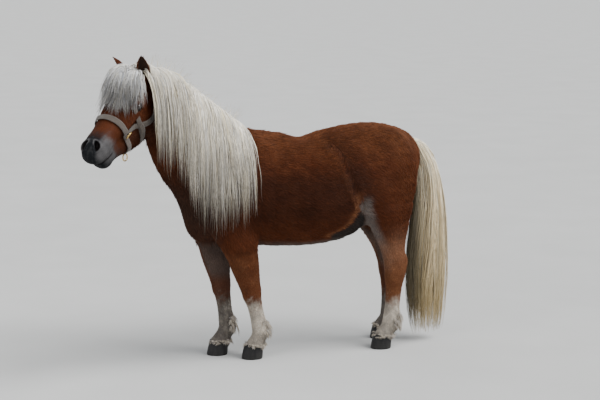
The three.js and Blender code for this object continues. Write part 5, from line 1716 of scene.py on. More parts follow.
@dataclass
class Hair:
    """What all long hair shares: guides that hang over the body, and thin closed strands along them.

    Attributes:
        body: The form that the hair grows on.
        steps: Stations along a strand.
        each: Strands in a clump.
        widths: Half widths of a clump from root to tip, and its half depths, in millimetres.
        wave: How far the clumps wave, in metres.
        least: The shortest strand's share of its guide.
        thick: Least and greatest half width of a strand, in metres.
        vary: How much the strands differ in lightness.
        tints: Colours from root to tip.
        room: Middle of the roots' room on the unwrap, and its half size.
    """

    body: Body
    steps: int = 12
    each: int = 12
    widths: Rows = ()
    wave: float = 0.002
    least: float = 0.6
    thick: tuple[float, float] = (0.001, 0.0016)
    vary: float = 0.10
    tints: Rows = ()
    room: Triple = (0.9, 0.1, 0.05)

    def floor(self, points: Array) -> Array:
        """Distance to what hair lies on: the flesh, the ears and the hooves."""
        total = self.body.flesh.distance(points)
        for side in (-1, 1):
            ear = Ball(self.body.head.place(6, side * 44, 68) / MM, (24, 24, 60))
            total = np.minimum(total, ear.distance(points))
        for leg in self.body.legs.values():
            x, y, _ = leg.coronet
            total = np.minimum(total, Ball((x, y, 22), (43, 46, 44)).distance(points))
        return total

    def slope(self, points: Array, step: float = 0.001) -> tuple[Array, Array]:
        """The floor's height and gradient at each point."""
        nudges = np.concatenate([np.zeros((1, 3)), np.eye(3) * step, -np.eye(3) * step])
        values = self.floor((points[None] + nudges[:, None]).reshape(-1, 3)).reshape(7, -1)
        return values[0], ((values[1:4] - values[4:7]) / (2 * step)).T

    def drape(self, roots: Array, headings: Array, lengths: Array, lifts: Array, pull: float) -> Array:
        """Guides that start at their roots, sink under their weight and stay over the floor.

        Args:
            roots: Where the guides start.
            headings: The ways that they start in.
            lengths: Their lengths, in metres.
            lifts: The least height of each over the floor, in metres.
            pull: How far a guide turns downward in 50 mm.

        Returns:
            Stations of every guide, as guides by stations by three.
        """
        shares = np.linspace(0, 1, self.steps) ** 1.15
        spines = [roots]
        way = unit(headings)
        for k in range(1, self.steps):
            step = (lengths * (shares[k] - shares[k - 1]))[:, None]
            turn = 1 - (1 - pull) ** (step / 0.05)
            way = unit(way * (1 - turn) + np.array([0, 0, -1.0]) * turn)
            spot = spines[-1] + way * step
            for _ in range(3):
                height, slope = self.slope(spot)
                short = np.maximum(lifts - height, 0.0)
                spot = spot + slope * (short / np.maximum((slope**2).sum(axis=1), 0.2))[:, None]
            way = unit(spot - spines[-1])
            spines.append(spot)
        return np.stack(spines, 1)

    def outward(self, spines: Array) -> Array:
        """The way out of the body at each station."""
        _, slope = self.slope(spines.reshape(-1, 3))
        return unit(slope).reshape(spines.shape)

    @staticmethod
    def frames(spines: Array, outs: Array) -> tuple[Array, Array]:
        """Ways across and out of each station, square to the line's own way."""
        along = unit(np.gradient(spines, axis=1))
        across = unit(np.cross(along, outs))
        return across, np.cross(across, along)

    def strands(self, guides: Array, outs: Array, draw: Random) -> tuple[Array, Array]:
        """Strands that run beside each guide, in a clump that closes toward its tip.

        Args:
            guides: Stations of every guide.
            outs: The way out of the body at each station.
            draw: The seeded source of random numbers.

        Returns:
            Stations of every strand, and the way out at each.
        """
        count, steps, _ = guides.shape
        across, out = self.frames(guides, outs)
        spread, depth = (value_at(row, np.linspace(0, 1, steps)) * MM for row in self.widths)
        gone = np.linalg.norm(np.diff(guides, axis=1), axis=2).cumsum(axis=1)
        gone = np.concatenate([np.zeros((count, 1)), gone], 1)
        phase = draw.uniform(0, 2 * math.pi, (count, 1))
        period = draw.uniform(0.09, 0.15, (count, 1))
        sway = np.sin(gone / period * 2 * math.pi + phase) * self.wave * np.minimum(gone / 0.06, 1)
        lines, ways = [], []
        share = np.linspace(0, 1, steps)
        for _ in range(self.each):
            angle = draw.uniform(0, 2 * math.pi, (count, 1))
            reach = np.sqrt(draw.uniform(0, 1, (count, 1)))
            drift = draw.normal(size=(count, 1)) * 0.25 * share**2
            sideways = np.cos(angle) * reach * spread + sway + drift * spread.max()
            curl = np.sin(gone / (period * 0.6) * 2 * math.pi + draw.uniform(0, 6.3, (count, 1)))
            sideways = sideways + curl * 0.0012 * share
            high = np.abs(np.sin(angle)) * reach * depth
            cut = self.least + (1.04 - self.least) * draw.uniform(0, 1, (count, 1)) ** 1.5
            line = guides + across * sideways[..., None] + out * high[..., None]
            lines.append(resample(line, cut))
            ways.append(out)
        return np.concatenate(lines), np.concatenate(ways)

    def mesh(self, name: str, lines: Array, outs: Array, half: Array, colors: Array, uv: Array) -> Piece:
        """Thin three-sided closed blades along the lines, tapered to their tips.

        Args:
            name: The piece's name.
            lines: Stations of every strand.
            outs: The way out at each station.
            half: Half width of each strand, in metres.
            colors: A colour for each station of each strand.
            uv: The unwrap's place of each strand's root.

        Returns:
            The piece.
        """
        count, steps, _ = lines.shape
        across, out = self.frames(lines, outs)
        t = np.linspace(0, 1, steps)
        taper = np.minimum(1.0, 0.55 + 3 * t) * np.maximum(1 - np.maximum(t - 0.35, 0) / 0.65, 0.0) ** 0.8
        size = (half[:, None] * np.maximum(taper, 0.10))[..., None]
        ring = [lines + across * size - out * size * 0.25, lines + out * size * 0.6,
                lines - across * size - out * size * 0.25]
        points = np.stack(ring, 2).reshape(-1, 3)
        quads = tube_faces(steps, 3)
        last = (steps - 1) * 3
        one = np.concatenate([in_triangles(quads), [[0, 2, 1], [last, last + 1, last + 2]]])[:, ::-1]
        faces = (np.arange(count)[:, None, None] * steps * 3 + one).reshape(-1, 3)
        made = make_object(name, points, faces, self.body)
        set_colors(made, np.repeat(colors.reshape(-1, 3), 3, axis=0))
        patch = np.stack([np.tile([-1.0, 0.0, 1.0], steps), np.repeat(t * 2 - 1, 3)], 1) * 0.0015
        set_corner_uv(made, (uv[:, None, :] + patch).reshape(-1, 2), "OFBake")
        log.info("%s has %d strands and %d triangles", name, count, len(faces))
        return made

    def paint(self, lines: Array, draw: Random) -> Array:
        """Colours from root to tip, each strand a little different from the next."""
        count, steps, _ = lines.shape
        color = np.stack([value_at(row, np.linspace(0, 1, steps)) for row in np.array(self.tints).T], -1)
        value = np.exp(self.vary * draw.normal(size=(count, 1, 1)))
        warm = 1 + 0.07 * draw.normal(size=(count, 1, 1)) * np.array([0.4, 0.0, -1.0])
        clouds = wander(lines[:, 0] + lines[:, -1], 0.12, 43)[:, None, None]
        return color * value * warm * (1 + 0.12 * clouds)

    def root_patches(self, lines: Array, draw: Random) -> Array:
        """The unwrap's place of each strand's root, spread over the piece's own room."""
        u, v, half = self.room
        return np.array([u, v]) + draw.uniform(-half, half, (len(lines), 2))

    def grow(self, name: str, guides: Array, outs: Array, draw: Random) -> Piece:
        """The piece that grows along guides."""
        lines, ways = self.strands(guides, outs, draw)
        half = draw.uniform(*self.thick, len(lines))
        colors = self.paint(lines, draw)
        return self.mesh(name, lines, ways, half, colors, self.root_patches(lines, draw))


def resample(lines: Array, cut: Array) -> Array:
    """Lines cut to a share of their length, with as many stations as before."""
    count, steps, _ = lines.shape
    at = np.clip(np.linspace(0, 1, steps)[None, :] * cut, 0, 1) * (steps - 1)
    low = np.minimum(at.astype(int), steps - 2)
    part = (at - low)[..., None]
    rows = np.arange(count)[:, None]
    return lines[rows, low] * (1 - part) + lines[rows, low + 1] * part


class Fall(Enum):
    """The parts of the mane, each its own piece."""

    UNDER = "left_under"
    OVER = "left_over"
    FAR = "right"

    @property
    def side(self) -> int:
        """The side of the neck that it hangs on."""
        return -1 if self is Fall.FAR else 1


@dataclass
class Mane(Hair):
    """One part of the mane: long flaxen hair from the crest, most of it on the left.

    A layer holds its count of guides, its share of the full length, its height over the neck and over the
    crest in millimetres, and how steeply it first rises.
    """

    part: Fall = Fall.UNDER
    start: float = 0.19
    rise: Sequence[float] = (0.3, 0.5, 1.5, 1.6, 1.1, 0.9, 1.5, 2.6)
    low: Sequence[float] = (1.0, 1.0, 1.0, 0.9, 0.5, 0.6, 1.0, 1.3)
    fall: Sequence[float] = (300, 385, 500, 585, 600, 560, 480, 425)
    flyaways: tuple[float, ...] = (110, 0.17, 14.0, 8.0, 0.35)
    widths: Rows = ((11, 17, 20, 18, 9), (4, 6, 6, 5, 2))
    wave: float = 0.0025
    least: float = 0.46
    thick: tuple[float, float] = (0.0009, 0.0016)
    vary: float = 0.10
    # The last tint darkens the tips as painted shade, where the mane hangs low on the neck.
    tints: Rows = ((0.84, 0.80, 0.72), (0.84, 0.79, 0.68), (0.66, 0.61, 0.51), (0.17, 0.15, 0.125))

    def layers(self) -> Sequence[tuple[int, float, float, float, float]]:
        """The layers of this part."""
        return {
            Fall.UNDER: ((96, 1.0, 5.0, 5.0, 0.3), (92, 0.97, 9.0, 10.0, 0.25)),
            Fall.OVER: ((92, 0.9, 13.0, 14.0, 0.2), (76, 0.68, 15.0, 18.0, 0.1)),
            Fall.FAR: ((52, 0.72, 6.0, 6.0, 0.3), (48, 0.68, 12.0, 12.0, 0.25), (36, 0.55, 17.0, 17.0, 0.2)),
        }[self.part]

    def crest(self) -> Array:
        """Points along the crest, evenly spaced from the withers to the poll."""
        rows = np.array(self.body.neck_rows)[:-1, :3] * MM
        axis = unit(np.gradient(rows, axis=0))
        up = unit(np.array([0, 0, 1.0]) - axis * axis[:, 2:])
        head = self.body.head
        starts = np.concatenate([rows, [head.place(-44, 0, -30)], [head.place(-18, 0, -10)]])
        ways = np.concatenate([up, [head.face], [head.face]])
        line = smooth_rows(self.body.to_skin(starts, ways), 12)
        gone = np.concatenate([[0], np.linalg.norm(np.diff(line, axis=0), axis=1).cumsum()])
        even = np.linspace(0, gone[-1], 101)
        return np.stack([np.interp(even, gone, line[:, k]) for k in range(3)], 1)

    def hang(self, layer: tuple[float, ...], stray: float, draw: Random) -> Array:
        """The guides of one layer.

        Args:
            layer: The layer's values.
            stray: How far the first way of each guide strays.
            draw: The seeded source of random numbers.

        Returns:
            Stations of every guide.
        """
        count, share, lift, root, rise = layer
        side = self.part.side
        crest = self.crest()
        tangent = unit(np.gradient(crest, axis=0))
        front = np.array([0.97, 0.22, 0]) if side > 0 else np.array([-0.98, 0.1, 0])
        t = self.start + (0.965 - self.start) * (np.arange(count) + draw.uniform(0.1, 0.9, count)) / count
        at = np.clip(t * 100, 0, 100)
        base = np.stack([np.interp(at, np.arange(101), crest[:, k]) for k in range(3)], 1)
        way = np.stack([np.interp(at, np.arange(101), tangent[:, k]) for k in range(3)], 1)
        turn = (t**3)[:, None]
        across = np.array(self.body.neck_wide) * side * (1 - turn) + front * turn
        heading = across + np.array([0, 0, rise]) + way * draw.uniform(-0.2, 0.2, (count, 1))
        heading += stray * draw.normal(size=(count, 3))
        length = value_at(self.fall, t) * share * MM * draw.uniform(0.84, 1.05, count)
        lifts = lift * MM * value_at(self.low, t) * draw.uniform(0.85, 1.15, count)
        roots = base + np.outer(root * value_at(self.rise, t), [0, 0, MM]) + across * 0.004
        return self.drape(roots, heading, length, lifts, 0.45 - 0.2 * min(stray, 1))

    def build(self) -> Piece:
        """Builds this part of the mane."""
        draw = np.random.default_rng(11 + len(self.part.value))
        guides = np.concatenate([self.hang(layer, 0.0, draw) for layer in self.layers()])
        lines, ways = self.strands(guides, self.outward(guides), draw)
        half = draw.uniform(*self.thick, len(lines))
        if self.part is not Fall.UNDER:
            stray = self.hang(self.flyaways, 0.4, draw)
            flat = (self.widths[0], [0.3 * width for width in self.widths[0]])
            single = replace(self, each=1, widths=flat, wave=0.006, least=0.8)
            more, out = single.strands(stray, self.outward(stray), draw)
            lines, ways = np.concatenate([lines, more]), np.concatenate([ways, out])
            half = np.concatenate([half, np.full(len(more), 0.0007)])
        colors = self.paint(lines, draw)
        uv = np.stack([lines[:, 0, 1] * 1.2 + 1.1, lines[:, 0, 2] * 0.2 + 0.05], 1) % 1.0
        return self.mesh(f"mane_{self.part.value}_strands", lines, ways, half, colors, uv)


@dataclass
class Forelock(Hair):
    """The forelock: from between the ears over the brow to both sides, nearly to the noseband.

    A layer holds its count of guides, its share of the full length, its height over the face and how far
    behind the poll it starts, in millimetres.
    """

    longest: float = 250.0
    layers: Sequence[tuple[int, float, float, float]] = (
        (42, 0.93, 7.0, 18.0), (44, 0.97, 15.0, 12.0), (42, 1.0, 24.0, 4.0), (36, 0.97, 32.0, -4.0),
        (30, 0.84, 35.0, 2.0),
    )
    widths: Rows = ((9, 12, 13, 11, 7), (6, 6, 5, 4, 2))
    least: float = 0.62
    tints: Rows = ((0.66, 0.65, 0.63), (0.50, 0.495, 0.48), (0.20, 0.19, 0.18))

    def build(self) -> Piece:
        """Builds the forelock."""
        draw = np.random.default_rng(5)
        head = self.body.head
        guides = []
        for count, share, lift, back in self.layers:
            s = np.linspace(-1, 1.3, count) + draw.uniform(-0.06, 0.06, count)
            temple = np.maximum(s - 0.6, 0)
            starts = np.outer(back + 20 * temple, head.along) + np.outer(s * 22 + 20 * temple, head.left)
            ways = np.tile(head.face, (count, 1))
            roots = self.body.to_skin(head.origin + starts * MM, ways) + head.face * (6 + lift * 0.85) * MM
            heading = head.along * 0.7 + np.outer(s * 1.6 + 0.2, head.left) + head.face * 0.9
            near_edge = 1.06 - 0.30 * np.clip(s, 0, 1.5) - 0.10 * np.maximum(-s, 0)
            length = self.longest * share * near_edge * draw.uniform(0.86, 1.04, count) * MM
            guides.append(self.drape(roots, heading, length, np.full(count, lift * MM), 0.42))
        spines = np.concatenate(guides)
        return self.grow("forelock_strands", spines, self.outward(spines), draw)


@dataclass
class Tail(Hair):
    """The tail: a full fall of pale hair to just over the ground."""

    steps: int = 14
    clumps: int = 200
    each: int = 10
    inner: float = 0.700
    widths: Rows = ((7, 12, 14, 13, 6), (5, 8, 9, 8, 4))
    wave: float = 0.006
    least: float = 0.86
    thick: tuple[float, float] = (0.0012, 0.002)
    vary: float = 0.13
    room: Triple = (0.75, 0.1, 0.08)
    tints: Rows = ((0.84, 0.77, 0.62), (0.72, 0.61, 0.42), (0.42, 0.31, 0.14))

    def at(self, share: Array, angle: Array, fill: Array) -> tuple[Array, Array]:
        """Points of the tail's room, and the ways out of it.

        Args:
            share: Place from the dock to the tips, from 0 to 1.
            angle: Angle round the tail, in radians.
            fill: How far out from the middle, from 0 to 1.

        Returns:
            Points, and directions of length one.
        """
        rows = smooth_rows(self.body.tail_rows, 4) * MM
        values = [value_at(rows[:, k], share) for k in range(5)]
        middle = np.stack(values[:3], -1)
        ahead = np.stack([value_at(rows[:, k], share + 0.04) for k in range(3)], -1)
        behind = np.stack([value_at(rows[:, k], share - 0.04) for k in range(3)], -1)
        axis = unit(ahead - behind)
        across = unit(np.array([1.0, 0, 0]) - axis * axis[..., :1])
        out = np.cross(axis, across)
        n = across * (np.cos(angle) * values[3])[..., None] + out * (np.sin(angle) * values[4])[..., None]
        return middle + n * fill[..., None], unit(n)

    def build(self) -> Piece:
        """Builds the tail."""
        draw = np.random.default_rng(23)
        count = self.clumps
        t = np.linspace(0, 1, self.steps)[None, :]
        start = draw.uniform(0.0, 0.22, (count, 1)) ** 1.3
        end = draw.uniform(0.80, 1.0, (count, 1))
        end = np.where(draw.uniform(0, 1, (count, 1)) < 0.72, draw.uniform(0.95, 1.0, (count, 1)), end)
        share = start + (end - start) * t
        angle = draw.uniform(0, 2 * math.pi, (count, 1)) + draw.normal(size=(count, 1)) * 0.25 * t
        within = np.sqrt(draw.uniform(0.15, 1.0, (count, 1)))
        fill = within * (0.35 + 0.65 * np.minimum(t * 3.2, 1.0))
        fill = fill * (1 - 0.18 * np.maximum(t - 0.7, 0) / 0.3)
        spines, outs = self.at(share, angle + np.zeros_like(t), fill)
        return self.grow("tail_strands", spines, outs, draw)

    def paint(self, lines: Array, draw: Random) -> Array:
        """The hair's colours, with painted shade where it lies between the thighs."""
        ahead = ramp(self.inner + 0.012, self.inner - 0.03, lines[..., 1:2])
        shade = 1 - 0.72 * ahead * ramp(0.80, 0.66, lines[..., 2:3])
        return super().paint(lines, draw) * shade


@dataclass
class Feather(Hair):
    """Long hair behind one fetlock, falling over the heel."""

    name: str = "fore_left"
    steps: int = 6
    guides: int = 46
    fringe: int = 64
    each: int = 10
    widths: Rows = ((5, 7, 7, 5), (1.5, 3, 3, 1.5))
    wave: float = 0.0008
    thick: tuple[float, float] = (0.0006, 0.0011)
    vary: float = 0.16
    room: Triple = (0.55, 0.1, 0.03)
    # The tints are the white hair greyed as painted shade.
    tints: Rows = ((0.30, 0.265, 0.22), (0.42, 0.37, 0.31))

    def build(self) -> Piece:
        """Builds the feather of one leg, and the fringe over its hoof."""
        draw = np.random.default_rng(31 + sum(map(ord, self.name)))
        leg = self.body.legs[self.name]
        count = self.guides + self.fringe
        is_fringe = np.arange(count) >= self.guides
        wide = np.where(is_fringe, 178, 92)
        angle = np.radians(wide * draw.uniform(-1, 1, count))
        out = np.stack([np.sin(angle), np.cos(angle), np.zeros(count)], 1)
        rise = np.where(is_fringe, draw.uniform(2, 16, count), draw.uniform(-10, 52, count))
        heel = np.array(leg.fetlock) + np.array([0, 4, 0])
        start = np.where(is_fringe[:, None], np.array(leg.coronet), heel)
        middle = start + rise[:, None] * np.array([0, 0, 1.0])
        roots = self.body.to_skin(middle * MM, out, 0.001)
        heading = out * 0.28 + np.array([0, 0, -1.0])
        length = 20 + 30 * np.maximum(np.cos(angle), 0) ** 1.5 - 0.1 * np.maximum(rise, 0)
        length = np.where(is_fringe, 13 + 5 * np.maximum(np.cos(angle), 0), length) * MM
        length = length * draw.uniform(0.8, 1.12, count)
        spines = self.drape(roots, heading, length, draw.uniform(0.001, 0.006, count), 0.8)
        return self.grow(f"feather_{self.name}_strands", spines, self.outward(spines), draw)


# Hooves and eyes


@dataclass
class Hoof:
    """A hoof: a flat sole, a sloping toe, rings of growth and a slanted crown under the hair."""

    body: Body
    leg: Leg
    name: str
    height: float = 56.0
    sole: tuple[float, float] = (39.0, 46.0)
    lean: float = 12.0
    slant: float = 0.3
    dark: Triple = (0.008, 0.008, 0.009)
    pale: Triple = (0.026, 0.024, 0.022)
    rows: int = 26
    around: int = 56

    def build(self) -> Piece:
        """Builds the hoof."""
        x, y, z = self.leg.coronet
        angles = np.linspace(0, 2 * math.pi, self.around, endpoint=False)
        heel = 1 - 0.1 * ramp(0.55, 0.95, np.sin(angles))
        full = self.height + 30
        crown = np.full(self.around, z)
        for _ in range(4):
            share = np.interp(crown / full, [0, 0.35, 1], [1, 0.96, 0.8])
            reach = y - self.lean * (1 - crown / full) + np.sin(angles) * self.sole[1] * share * heel
            crown = z - self.slant * (reach - y)
        rings = []
        for t in np.linspace(0, 1, self.rows):
            rise = crown * t
            share = np.interp(rise / full, [0, 0.35, 1], [1, 0.96, 0.8])
            ring = 0.45 * math.sin(t * 40) * t + 0.2 * math.sin(t * 93 + 1)
            bevel = -1.6 * max(0.0, 1 - t * self.rows / 1.5)
            wide = self.sole[0] * share + ring + bevel
            long = self.sole[1] * share * heel + ring + bevel
            at_y = y - self.lean * (1 - rise / full) + np.sin(angles) * long
            rings.append(np.stack([x + np.cos(angles) * wide, at_y, rise], 1))
        points = np.array(rings).reshape(-1, 3)
        ends = np.array([[x, y - self.lean, 0.0], [x, y, z - 6]])
        low, high = len(points), len(points) + 1
        points = np.concatenate([points, ends])
        quads = tube_faces(self.rows, self.around)
        top = (self.rows - 1) * self.around
        fans = [fan(low, 0, self.around)[:, [0, 2, 1]], fan(high, top, self.around)]
        faces = np.concatenate([in_triangles(quads), *fans])
        points = points * MM
        made = make_object(f"horn_{self.name}", points, faces, self.body)
        cloud = wander(points * np.array([1, 1, 0.4]), 0.03, 51)[:, None]
        high_share = ramp(0.0, 0.05, points[:, 2])[:, None]
        worn = np.clip(0.25 + 0.3 * cloud + 0.3 * (1 - high_share), 0, 1)
        set_colors(made, np.array(self.dark) * (1 - worn) + np.array(self.pale) * worn)
        return made


@dataclass
class Eye:
    """An eye: a dark brown iris with a level pupil under a bulging clear front."""

    body: Body
    side: Side
    rows: int = 64
    around: int = 96
    bulge: float = 1.3
    iris: Triple = (0.018, 0.0080, 0.0042)
    limb: Triple = (0.006, 0.004, 0.003)
    white: Triple = (0.045, 0.032, 0.026)
    pupil: Triple = (0.0015, 0.0015, 0.002)

    def build(self) -> Piece:
        """Builds the eye."""
        opening = EyeOpening(self.side.value, self.body)
        angles = np.linspace(0, 2 * math.pi, self.around, endpoint=False)
        tilt = np.linspace(0, math.pi, self.rows + 2)[1:-1]
        rings = []
        for t in tilt:
            flat = np.outer(np.cos(angles), opening.ahead) + np.outer(np.sin(angles), opening.rise)
            rings.append(opening.look * math.cos(t) + flat * math.sin(t))
        ways = np.concatenate([np.array(rings).reshape(-1, 3), [opening.look], [-opening.look]])
        front = np.clip(ways @ opening.look, -1, 1)
        radius = self.body.eye_radius + self.bulge * ramp(0.72, 0.95, front)
        places = opening.centre + ways * radius[:, None]
        head = self.body.head
        points = head.origin + places * MM @ head.axes
        quads = tube_faces(self.rows, self.around)
        low, high = len(points) - 2, len(points) - 1
        last = (self.rows - 1) * self.around
        fans = [fan(low, 0, self.around), fan(high, last, self.around)[:, [0, 2, 1]]]
        faces = np.concatenate([in_triangles(quads, True), *fans])
        if (np.cross(opening.ahead, opening.rise) @ opening.look) < 0:
            faces = faces[:, ::-1]
        made = make_object(f"eyeball_{self.side.word}", points, faces, self.body)
        ahead, rise = ways @ opening.ahead, ways @ opening.rise
        ring = np.hypot(ahead, rise)
        pupil = ramp(1.0, 0.86, np.sqrt((ahead / 0.36) ** 2 + (rise / 0.17) ** 2)) * (front > 0)
        rays = 0.5 + 0.5 * np.sin(np.arctan2(rise, ahead) * 46 + 2 * np.sin(ring * 20))
        iris = np.array(self.iris) * (0.7 + 0.6 * rays)[:, None]
        color = mixed(iris, self.limb, ramp(0.66, 0.76, ring))
        white = ramp(0.82, 0.90, ring) * (front > 0) + (front <= 0)
        color = mixed(color, self.white, np.clip(white, 0, 1))
        set_colors(made, mixed(color, self.pupil, pupil))
        return made


# The headcollar


@dataclass
class Headcollar:
    """Webbing round the nose, up the cheeks and behind the ears, and under the throat, with brass rings."""

    body: Body
    width: float = 23.0
    thick: float = 3.4
    lift: float = 2.6
    jaw_width: float = 20.0
    ring_radius: float = 14.0
    ring_rise: float = 8.0
    ring_steps: tuple[int, int] = (56, 16)
    wire: float = 2.5
    nose: float = 236.0
    nose_lean: float = 7.0
    nose_core: float = -26.0
    cheek_core: float = -30.0
    jaw_core: float = -60.0
    headpiece_rows: Rows = (
        (215, -19, 0), (192, -24, 0), (160, -30, 0), (120, -35, 0), (82, -35, 0), (45, -28, 0),
        (12, -12, 0), (-14, 12, 0), (-31, 38, 0), (-38, 65, 0), (-39, 90, 0),
    )
    jaw_rows: Rows = (
        (150, -4, 4.8), (150, -24, 4.8), (150, -44, 0.6), (150, -66, 0), (150, -90, 0),
    )

    def on_cheek(self, rows: Array, core: float) -> Array:
        """Points of the head's skin.

        Args:
            rows: Place along the head, angle from level in degrees, and height over the skin, in each row.
            core: Height of the line that the angles turn about.

        Returns:
            Points in the body's frame, in metres.
        """
        head = self.body.head
        starts = np.array([head.place(place, 0, core) for place in rows[:, 0]])
        angle = np.radians(rows[:, 1])[:, None]
        ways = head.left * np.cos(angle) + head.face * np.sin(angle)
        skin = self.body.to_skin(starts, ways)
        return skin + ways * rows[:, 2:] * MM

    def mirrored(self, rows: Rows, steps: int) -> Array:
        """Rows of one side and of the other, with smooth rows between them."""
        one = [list(row) for row in rows]
        other = [[place, 180 - angle, level] for place, angle, level in rows[:-1]]
        return smooth_rows(one + other[::-1], steps)

    def strap(self, name: str, spine: Array, closed: bool, width: float) -> Piece:
        """A strap with rounded edges along a line on the skin.

        Args:
            name: The piece's name.
            spine: Points of the line.
            closed: Whether it is a loop.
            width: The strap's width in millimetres.

        Returns:
            The piece.
        """
        count = len(spine)
        if closed:
            along = unit(np.roll(spine, -1, axis=0) - np.roll(spine, 1, axis=0))
        else:
            along = unit(np.gradient(spine, axis=0))
        normal = self.body.slope(spine)
        up = unit(normal - along * (normal * along).sum(axis=1, keepdims=True))
        side = np.cross(along, up)
        size = width / 2 * MM
        clear = np.zeros(count)
        for s in (-1, -0.5, 0, 0.5, 1):
            corner = spine + side * s * size + up * self.lift * MM
            clear = np.maximum(clear, self.lift * MM * 2 - self.body.flesh.distance(corner))
        clear = np.maximum(clear, self.lift * MM)
        bulge = self.thick * MM
        profile = [(-0.94, 0.0), (0.94, 0.0), (1.0, 0.25), (1.0, 0.75), (0.93, 1.0), (0.5, 1.06),
                   (0.0, 1.08), (-0.5, 1.06), (-0.93, 1.0), (-1.0, 0.75), (-1.0, 0.25)]
        rings = [spine + side * s * size + up * (clear + t * bulge)[:, None] for s, t in profile]
        around = len(profile)
        points = np.stack(rings, 1).reshape(-1, 3)
        quads = tube_faces(count, around, closed)
        faces = in_triangles(quads, True)
        if not closed:
            end = np.array([[0, k, k + 1] for k in range(1, around - 1)])
            last = (count - 1) * around
            faces = np.concatenate([faces, end, last + end[:, ::-1]])
        made = make_object(name, points, faces, self.body)
        gone = np.concatenate([[0], np.linalg.norm(np.diff(spine, axis=0), axis=1).cumsum()])
        u = np.repeat(gone, around)
        v = np.tile([(s + 1) * size for s, _ in profile], count)
        set_corner_uv(made, np.stack([u, v], 1), "Strap")
        return made

    def ring(self, name: str, place: float, angle: float, across: Array | None = None) -> Piece:
        """A brass ring that lies on the straps, or stands under the chin with its axis across."""
        spot = self.on_cheek(np.array([[place, angle, 0.0]]), self.nose_core)
        out = unit(self.body.slope(spot))[0]
        axis = out if across is None else across
        rise = self.ring_rise if across is None else self.ring_radius + 1
        centre = spot[0] + out * (self.lift + self.thick + self.wire + rise) * MM
        first = unit(np.cross(axis, np.array([0.3, 0.2, 1.0])))
        second = np.cross(axis, first)
        big, small = (np.linspace(0, 2 * math.pi, count, endpoint=False) for count in self.ring_steps)
        way = np.outer(np.cos(big), first) + np.outer(np.sin(big), second)
        points = centre + way[:, None] * (self.ring_radius + self.wire * np.cos(small)[None, :, None]) * MM
        points = points + axis * (np.sin(small) * self.wire * MM)[None, :, None]
        faces = in_triangles(tube_faces(*self.ring_steps, True))
        return make_object(name, points.reshape(-1, 3), faces, self.body)

    def build(self) -> list[tuple[Piece, str, str]]:
        """Builds every piece.

        Returns:
            Each piece with the node that it stands for and its material slot.
        """
        angles = np.linspace(0, 360, 90, endpoint=False)
        place = self.nose + self.nose_lean * np.sin(np.radians(angles))
        nose = self.on_cheek(np.stack([place, angles, np.zeros(90)], 1), self.nose_core)
        cheeks = self.on_cheek(self.mirrored(self.headpiece_rows, 6), self.cheek_core)
        jaw = self.on_cheek(self.mirrored(self.jaw_rows, 7), self.jaw_core)
        return [
            (self.strap("noseband", nose, True, self.width), "halter_noseband", "webbing"),
            (self.strap("headpiece", cheeks, False, self.width), "halter_headpiece", "webbing"),
            (self.strap("jaw_strap", jaw, False, self.jaw_width), "halter_jaw_strap", "webbing"),
            (self.ring("ring_left", 226, -18), "halter_ring_left", "brass"),
            (self.ring("ring_right", 226, 198), "halter_ring_right", "brass"),
            (self.ring("ring_chin", 230, -90, self.body.head.left), "halter_ring_chin", "brass"),
        ]


# Floor, light and camera


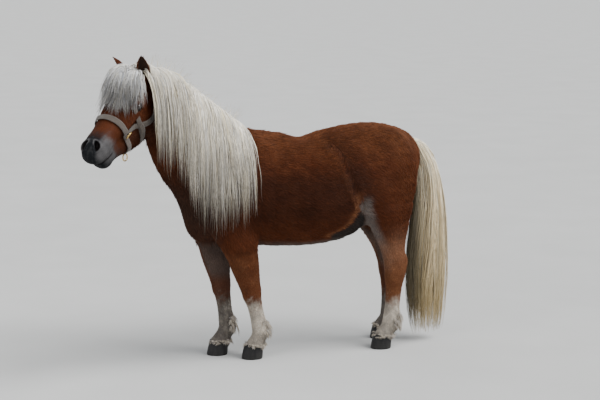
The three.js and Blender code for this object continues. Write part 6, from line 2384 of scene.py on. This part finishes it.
@dataclass
class Studio:
    """A pale floor, soft light and the camera."""

    body: Body
    camera_place: Triple = (5.730, -1.914, 1.630)
    azimuth: float = 70.0
    pitch: float = 9.276
    lens: float = 90.0
    sensor: float = 36.0
    half_floor: float = 90.0
    sky: tuple[float, ...] = (0.86, 0.89, 0.93, 1)
    sky_power: float = 0.88
    lamps: Sequence[tuple[str, str, Triple, float, float]] = (
        ("key", "SUN", (1.8, 2.9, 4.7), 0.8, 5.6),
        ("front", "AREA", (2.6, -4.2, 3.0), 3.0, 110.0),
    )
    aim: Triple = (0.0, 0.0, 0.7)

    def build(self) -> None:
        """Builds the floor, the lights and the camera."""
        mesh = bpy.data.meshes.new("floor")
        size = self.half_floor
        corners = [(-size, -size, 0), (size, -size, 0), (size, size, 0), (-size, size, 0)]
        mesh.from_pydata(corners, [], [(0, 1, 2, 3)])
        floor = bpy.data.objects.new("floor", mesh)
        bpy.context.scene.collection.objects.link(floor)
        floor.location = (0, 0, -0.0005)
        mesh.materials.append(FLOOR.build())
        world = bpy.data.worlds.new("soft_room")
        world.use_nodes = True
        background = world.node_tree.nodes["Background"]
        background.inputs["Color"].default_value = self.sky
        background.inputs["Strength"].default_value = self.sky_power
        bpy.context.scene.world = world
        for row in self.lamps:
            self.lamp(*row)
        data = bpy.data.cameras.new("view")
        data.lens = self.lens
        data.sensor_width = self.sensor
        camera = bpy.data.objects.new("view", data)
        bpy.context.scene.collection.objects.link(camera)
        camera.location = np.array(self.camera_place) + self.body.shift
        camera.rotation_euler = (math.radians(90 - self.pitch), 0, math.radians(self.azimuth))
        bpy.context.scene.camera = camera

    def lamp(self, name: str, kind: str, place: Triple, size: float, power: float) -> None:
        """A lamp that faces the animal: a square one of a size, or a far one of an angle."""
        data = bpy.data.lights.new(name, kind)
        setattr(data, "angle" if kind == "SUN" else "size", size)
        data.energy = power
        lamp = bpy.data.objects.new(name, data)
        bpy.context.scene.collection.objects.link(lamp)
        way = np.array(self.aim) - np.array(place)
        lamp.location = place
        pitch = math.atan2(math.hypot(way[0], way[1]), -way[2])
        lamp.rotation_euler = (pitch, 0, math.atan2(way[1], way[0]) - math.pi / 2)


def dress(piece: Piece, material: bpy.types.Material, slot: str, nodes: Sequence[str]) -> None:
    """Gives a piece its material, hangs it under the root and hides the solids that it stands for."""
    piece.data.materials.append(material)
    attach(piece, "root")
    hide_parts(*nodes)
    log.info("%s: %d faces", piece.name, len(piece.data.polygons))


def main() -> None:
    """Builds the pony, piece by piece, and the room that it stands in."""
    body = Body()
    Studio(body).build()
    markings = Markings(body)
    coat = COAT.build()
    skin = Skin(body, markings)
    legs = [f"{name.split('_')[0]}leg_{name.split('_')[1]}" for name in body.legs]
    dress(skin.build(), coat, "coat", ["torso", "neck", "head", *legs, "ear_left", "ear_right"])
    for piece, nodes in Coat(skin, body, markings).build():
        dress(piece, coat, "coat", nodes)
    flaxen = MANE_HAIR.build()
    for part in Fall:
        dress(Mane(body, part=part).build(), flaxen, "mane_hair", ["mane"])
    dress(Forelock(body).build(), flaxen, "mane_hair", ["forelock"])
    dress(Tail(body).build(), TAIL_HAIR.build(), "tail_hair", ["tail"])
    feather, horn = FEATHER_HAIR.build(), HORN.build()
    for name, leg in body.legs.items():
        dress(Feather(body, name=name).build(), feather, "feather_hair", [f"feather_{name}"])
        dress(Hoof(body, leg, name).build(), horn, "horn", [f"hoof_{name}"])
    eye = EYE.build()
    for side in Side:
        dress(Eye(body, side).build(), eye, "eye", [f"eye_{side.word}"])
    finishes = {"webbing": WEBBING.build(), "brass": BRASS.build()}
    for piece, node, slot in Headcollar(body).build():
        dress(piece, finishes[slot], slot, [node])


if __name__ == "__main__":
    logging.basicConfig(level=logging.INFO, format="%(message)s")
    main()
